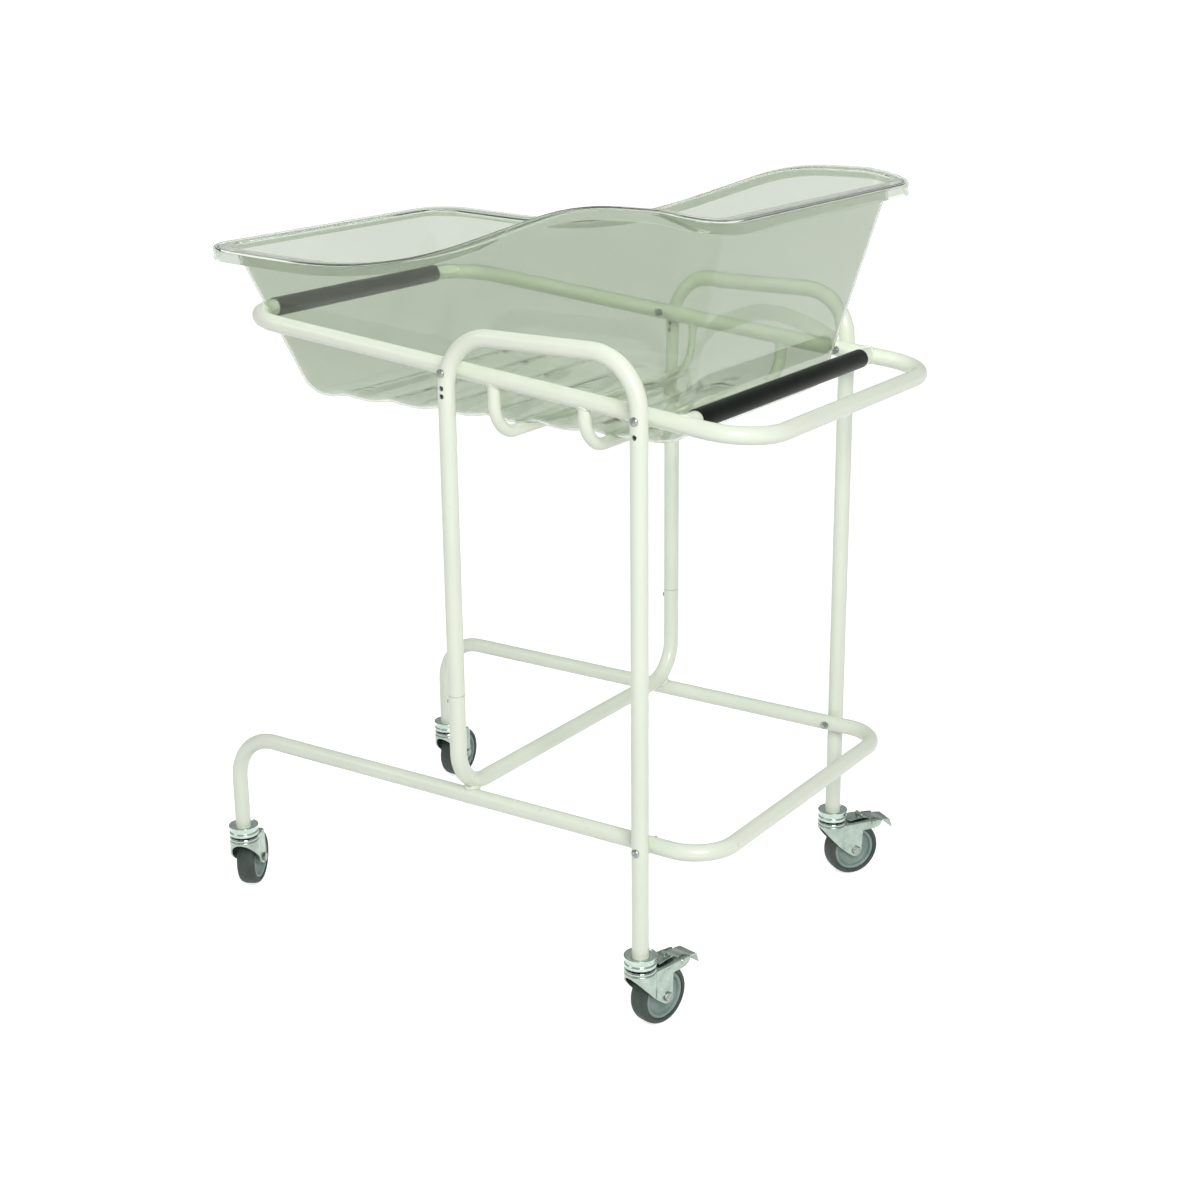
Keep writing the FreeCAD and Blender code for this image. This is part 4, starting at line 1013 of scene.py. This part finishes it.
PEDAL_PLATE = make_pedal_plate()
PEDAL_BOSS = joined(
    across(turned([
        (2.1, -12.0, 0), (5.0, -12.0, 0.5), (5.4, -9.0, 0.5), (5.4, 9.0, 0.5), (5.0, 12.0, 0.5),
        (2.1, 12.0, 0)], 40, steps=3), 60.0, 80.0),
    plate(rounded([
        (57.2, 77.5, 0), (59.4, 71.9, 0.5), (62.3, 72.1, 0.8), (64.4, 77.5, 0)], closed=True),
        -9.0, 9.0),
    pedal_flange(-1), pedal_flange(1))


def make_brake_cover():
    """Dished plate of the brake between the fork's arms."""
    last, start, spacing = 21, 22.0, 1.5
    base, arch = 86.0, 1.5
    line = [
        (start + spacing * step, base + arch * math.sin(math.pi * step / last))
        for step in range(last + 1)]
    wide, taper = 25.0, 4.5
    rim_lift, dish_depth, dish_x, dish_reach = 1.6, 0.8, 36.0, 8.0

    def width(index):
        return wide - taper * (index / last) ** 2

    def lift(index, y, half):
        along = math.exp(-((line[index][0] - dish_x) / dish_reach) ** 2)
        return rim_lift * (abs(y) / half) ** 3 - dish_depth * along * (1 - (y / half) ** 2)

    return sheet_strip(line, width, lift, 16)


BRAKE_COVER = make_brake_cover()
BRAKE_TAB = joined(  # two crossed upright plates
    plate(rounded([
        (41.0, 86.0, 0.3), (49.0, 86.0, 0.3), (49.6, 91.2, 1.0), (41.4, 92.4, 1.0)],
        closed=True), -2.8, 2.8),
    plate(rounded([
        (43.0, 86.0, 0.3), (46.8, 86.0, 0.3), (46.4, 92.8, 1.0), (43.4, 92.8, 1.0)],
        closed=True), -8.0, 8.0))


def make_caster(corner, x, y, turn):
    """One caster on its cup, swivel, wheel and, at the head, brake pedal."""
    swivel, wheel, pedal = (corner + part for part in ("_swivel", "_wheel", "_brake_pedal"))
    braked = corner.endswith("head")

    def add(name, shape, look, slot, body, node=None, **how):
        replaces = [f"{corner}_{node}"] if node else ()
        piece(
            f"{corner}_{name}", moved(shape, x, y, turn), LOOK[look], slot, body, replaces, **how)

    def add_zinc(name, shape, body, node=None, **how):
        add(name, shape, "zinc", "caster_zinc", body, node, **how)

    add("dished_cup", CUP, "cup", "caster_zinc", "frame", "cup")
    add_zinc(
        "pressed_fork", FORKS[braked], swivel, "fork", sharp=45.0,
        modifiers=[thickness(2.4), edge_bevel(0.5)])
    add("race_band", CROWN_BAND, "chrome", "caster_zinc", swivel)
    add_zinc("fork_rivets", RIVETS, swivel)
    add("moulded_hub", HUB, "hub", "hub_plastic", wheel, "hub")
    add("round_tyre", TYRE, "tyre", "tyre", wheel, "tyre", sharp=50.0)
    add("hexagon_axle", AXLE_BOLT, "screw", "caster_zinc", swivel, "axle_bolt", sharp=25.0)
    add("hexagon_axle_nut", AXLE_NUT, "screw", "caster_zinc", swivel, "axle_nut", sharp=25.0)
    if braked:
        add_zinc(
            "brake_cover", BRAKE_COVER, swivel, sharp=50.0,
            modifiers=[thickness(1.2), edge_bevel(0.3)])
        add_zinc("brake_tab", BRAKE_TAB, swivel, modifiers=[edge_bevel(0.5, angle=40.0)])
        add_zinc(
            "pedal_plate", PEDAL_PLATE, pedal, "pedal", sharp=50.0,
            modifiers=[thickness(1.8), edge_bevel(0.45)])
        add_zinc("pedal_boss", PEDAL_BOSS, pedal, modifiers=[edge_bevel(0.3, angle=40.0)])


for corner_name, corner_place in CORNERS.items():
    make_caster(corner_name, *corner_place)


# ---------------------------------------------------------------- set, lights and camera

FLOOR_HALF = 150.0  # metres
FLOOR_GLOW = 0.64
DOME = 60.0  # metres
DOME_GLOW = 1.02
WHITE = (1.0, 1.0, 1.0, 1.0)
SKY = ((0.0, 0.62), (0.10, 0.48), (0.35, 0.42), (1.0, 0.55))
# name, place, target, size, watts and colour of each lamp
LAMPS = (
    ("key", (2.3, -2.3, 2.2), (0.0, 0.0, 0.5), (1.4, 1.2), 78.0, (1.0, 0.99, 0.96)),
    ("fill", (-2.2, -2.2, 2.6), (0.0, 0.0, 0.6), (1.2, 1.2), 10.0, (0.97, 1.0, 0.98)),
)
CAMERA_PLACE = (1337.2, -2149.6, 1308.0)
CAMERA_TURNS = (33.63, 18.12, -0.52)  # yaw, pitch and roll in degrees
CAMERA_LENS = 59.26
CAMERA_SENSOR = 36.0
CAMERA_REACH = 100.0  # metres, past the dome


def studio_surface(name, shape, look, colour_scale, rough_scale):
    """A pale set piece with a faintly uneven colour."""
    verts, faces = shape
    mesh = bpy.data.meshes.new(name)
    mesh.from_pydata(verts, [], faces)
    look.colour(
        look.noise(colour_scale, 2.0), (0.3, (0.86, 0.86, 0.86)), (0.7, (0.88, 0.88, 0.88)))
    look.rough(look.noise(rough_scale), 0.85, 0.95)
    mesh.materials.append(look.material)
    return placed(name, mesh)


def make_floor():
    size = FLOOR_HALF
    corners = [(-size, -size, 0), (size, -size, 0), (size, size, 0), (-size, size, 0)]
    look = Finish(
        "pale_floor", Specular_IOR_Level=0.1, Emission_Strength=FLOOR_GLOW, Emission_Color=WHITE)
    floor = studio_surface("studio_floor", (corners, [(0, 1, 2, 3)]), look, 1.5, 4.0)
    floor.visible_diffuse = False  # the glowing floor is seen, but doesn't light things from below


def make_backdrop():
    """White dome far behind everything, seen by the eye and through clear pieces only."""
    turns = [math.radians(angle) for angle in range(-2, 91, 4)]
    shape = lathe([(DOME * math.cos(turn), DOME * math.sin(turn)) for turn in turns], 96)
    look = Finish(
        "pale_backdrop", Specular_IOR_Level=0.0, Emission_Strength=DOME_GLOW, Emission_Color=WHITE)
    dome = studio_surface("studio_backdrop", shape, look, 0.1, 0.2)
    dome.visible_diffuse = False
    dome.visible_glossy = False
    dome.visible_shadow = False


def make_sky():
    """Pale world that is lighter at the horizon and straight above."""
    world = bpy.data.worlds.new("studio")
    bpy.context.scene.world = world
    world.use_nodes = True
    nodes = world.node_tree.nodes
    links = world.node_tree.links
    split = nodes.new("ShaderNodeSeparateXYZ")
    ramp = colour_ramp(nodes, [(position, (value, value, value)) for position, value in SKY])
    links.new(nodes.new("ShaderNodeTexCoord").outputs["Generated"], split.inputs["Vector"])
    links.new(split.outputs["Z"], ramp.inputs["Fac"])
    links.new(ramp.outputs["Color"], nodes["Background"].inputs["Color"])


def make_lamp(name, place, target, size, power, colour):
    light = bpy.data.lights.new(name, "AREA")
    light.shape = "RECTANGLE"
    light.size, light.size_y = size
    light.energy = power
    light.color = colour
    lamp = placed(name, light)
    lamp.location = place
    lamp.rotation_euler = (Vector(target) - Vector(place)).to_track_quat("-Z", "Y").to_euler()


def make_camera():
    """Stand where the picture was taken from, in the frame's own axes."""
    data = bpy.data.cameras.new("view")
    data.sensor_width = CAMERA_SENSOR
    data.lens = CAMERA_LENS
    data.clip_end = CAMERA_REACH
    yaw, pitch, roll = (math.radians(angle) for angle in CAMERA_TURNS)
    back = Vector((
        math.sin(yaw) * math.cos(pitch), -math.cos(yaw) * math.cos(pitch), math.sin(pitch)))
    right = Vector((math.cos(yaw), math.sin(yaw), 0.0))
    up = back.cross(right)
    right, up = (
        right * math.cos(roll) + up * math.sin(roll), up * math.cos(roll) - right * math.sin(roll))
    matrix = Matrix((right, up, back)).transposed().to_4x4()
    matrix.translation = (Vector(CAMERA_PLACE) + MIDDLE) * MM
    camera = placed("view", data)
    camera.matrix_world = matrix
    bpy.context.scene.camera = camera


make_floor()
make_backdrop()
make_sky()
for lamp_settings in LAMPS:
    make_lamp(*lamp_settings)
make_camera()
bpy.context.scene.view_settings.view_transform = "Standard"
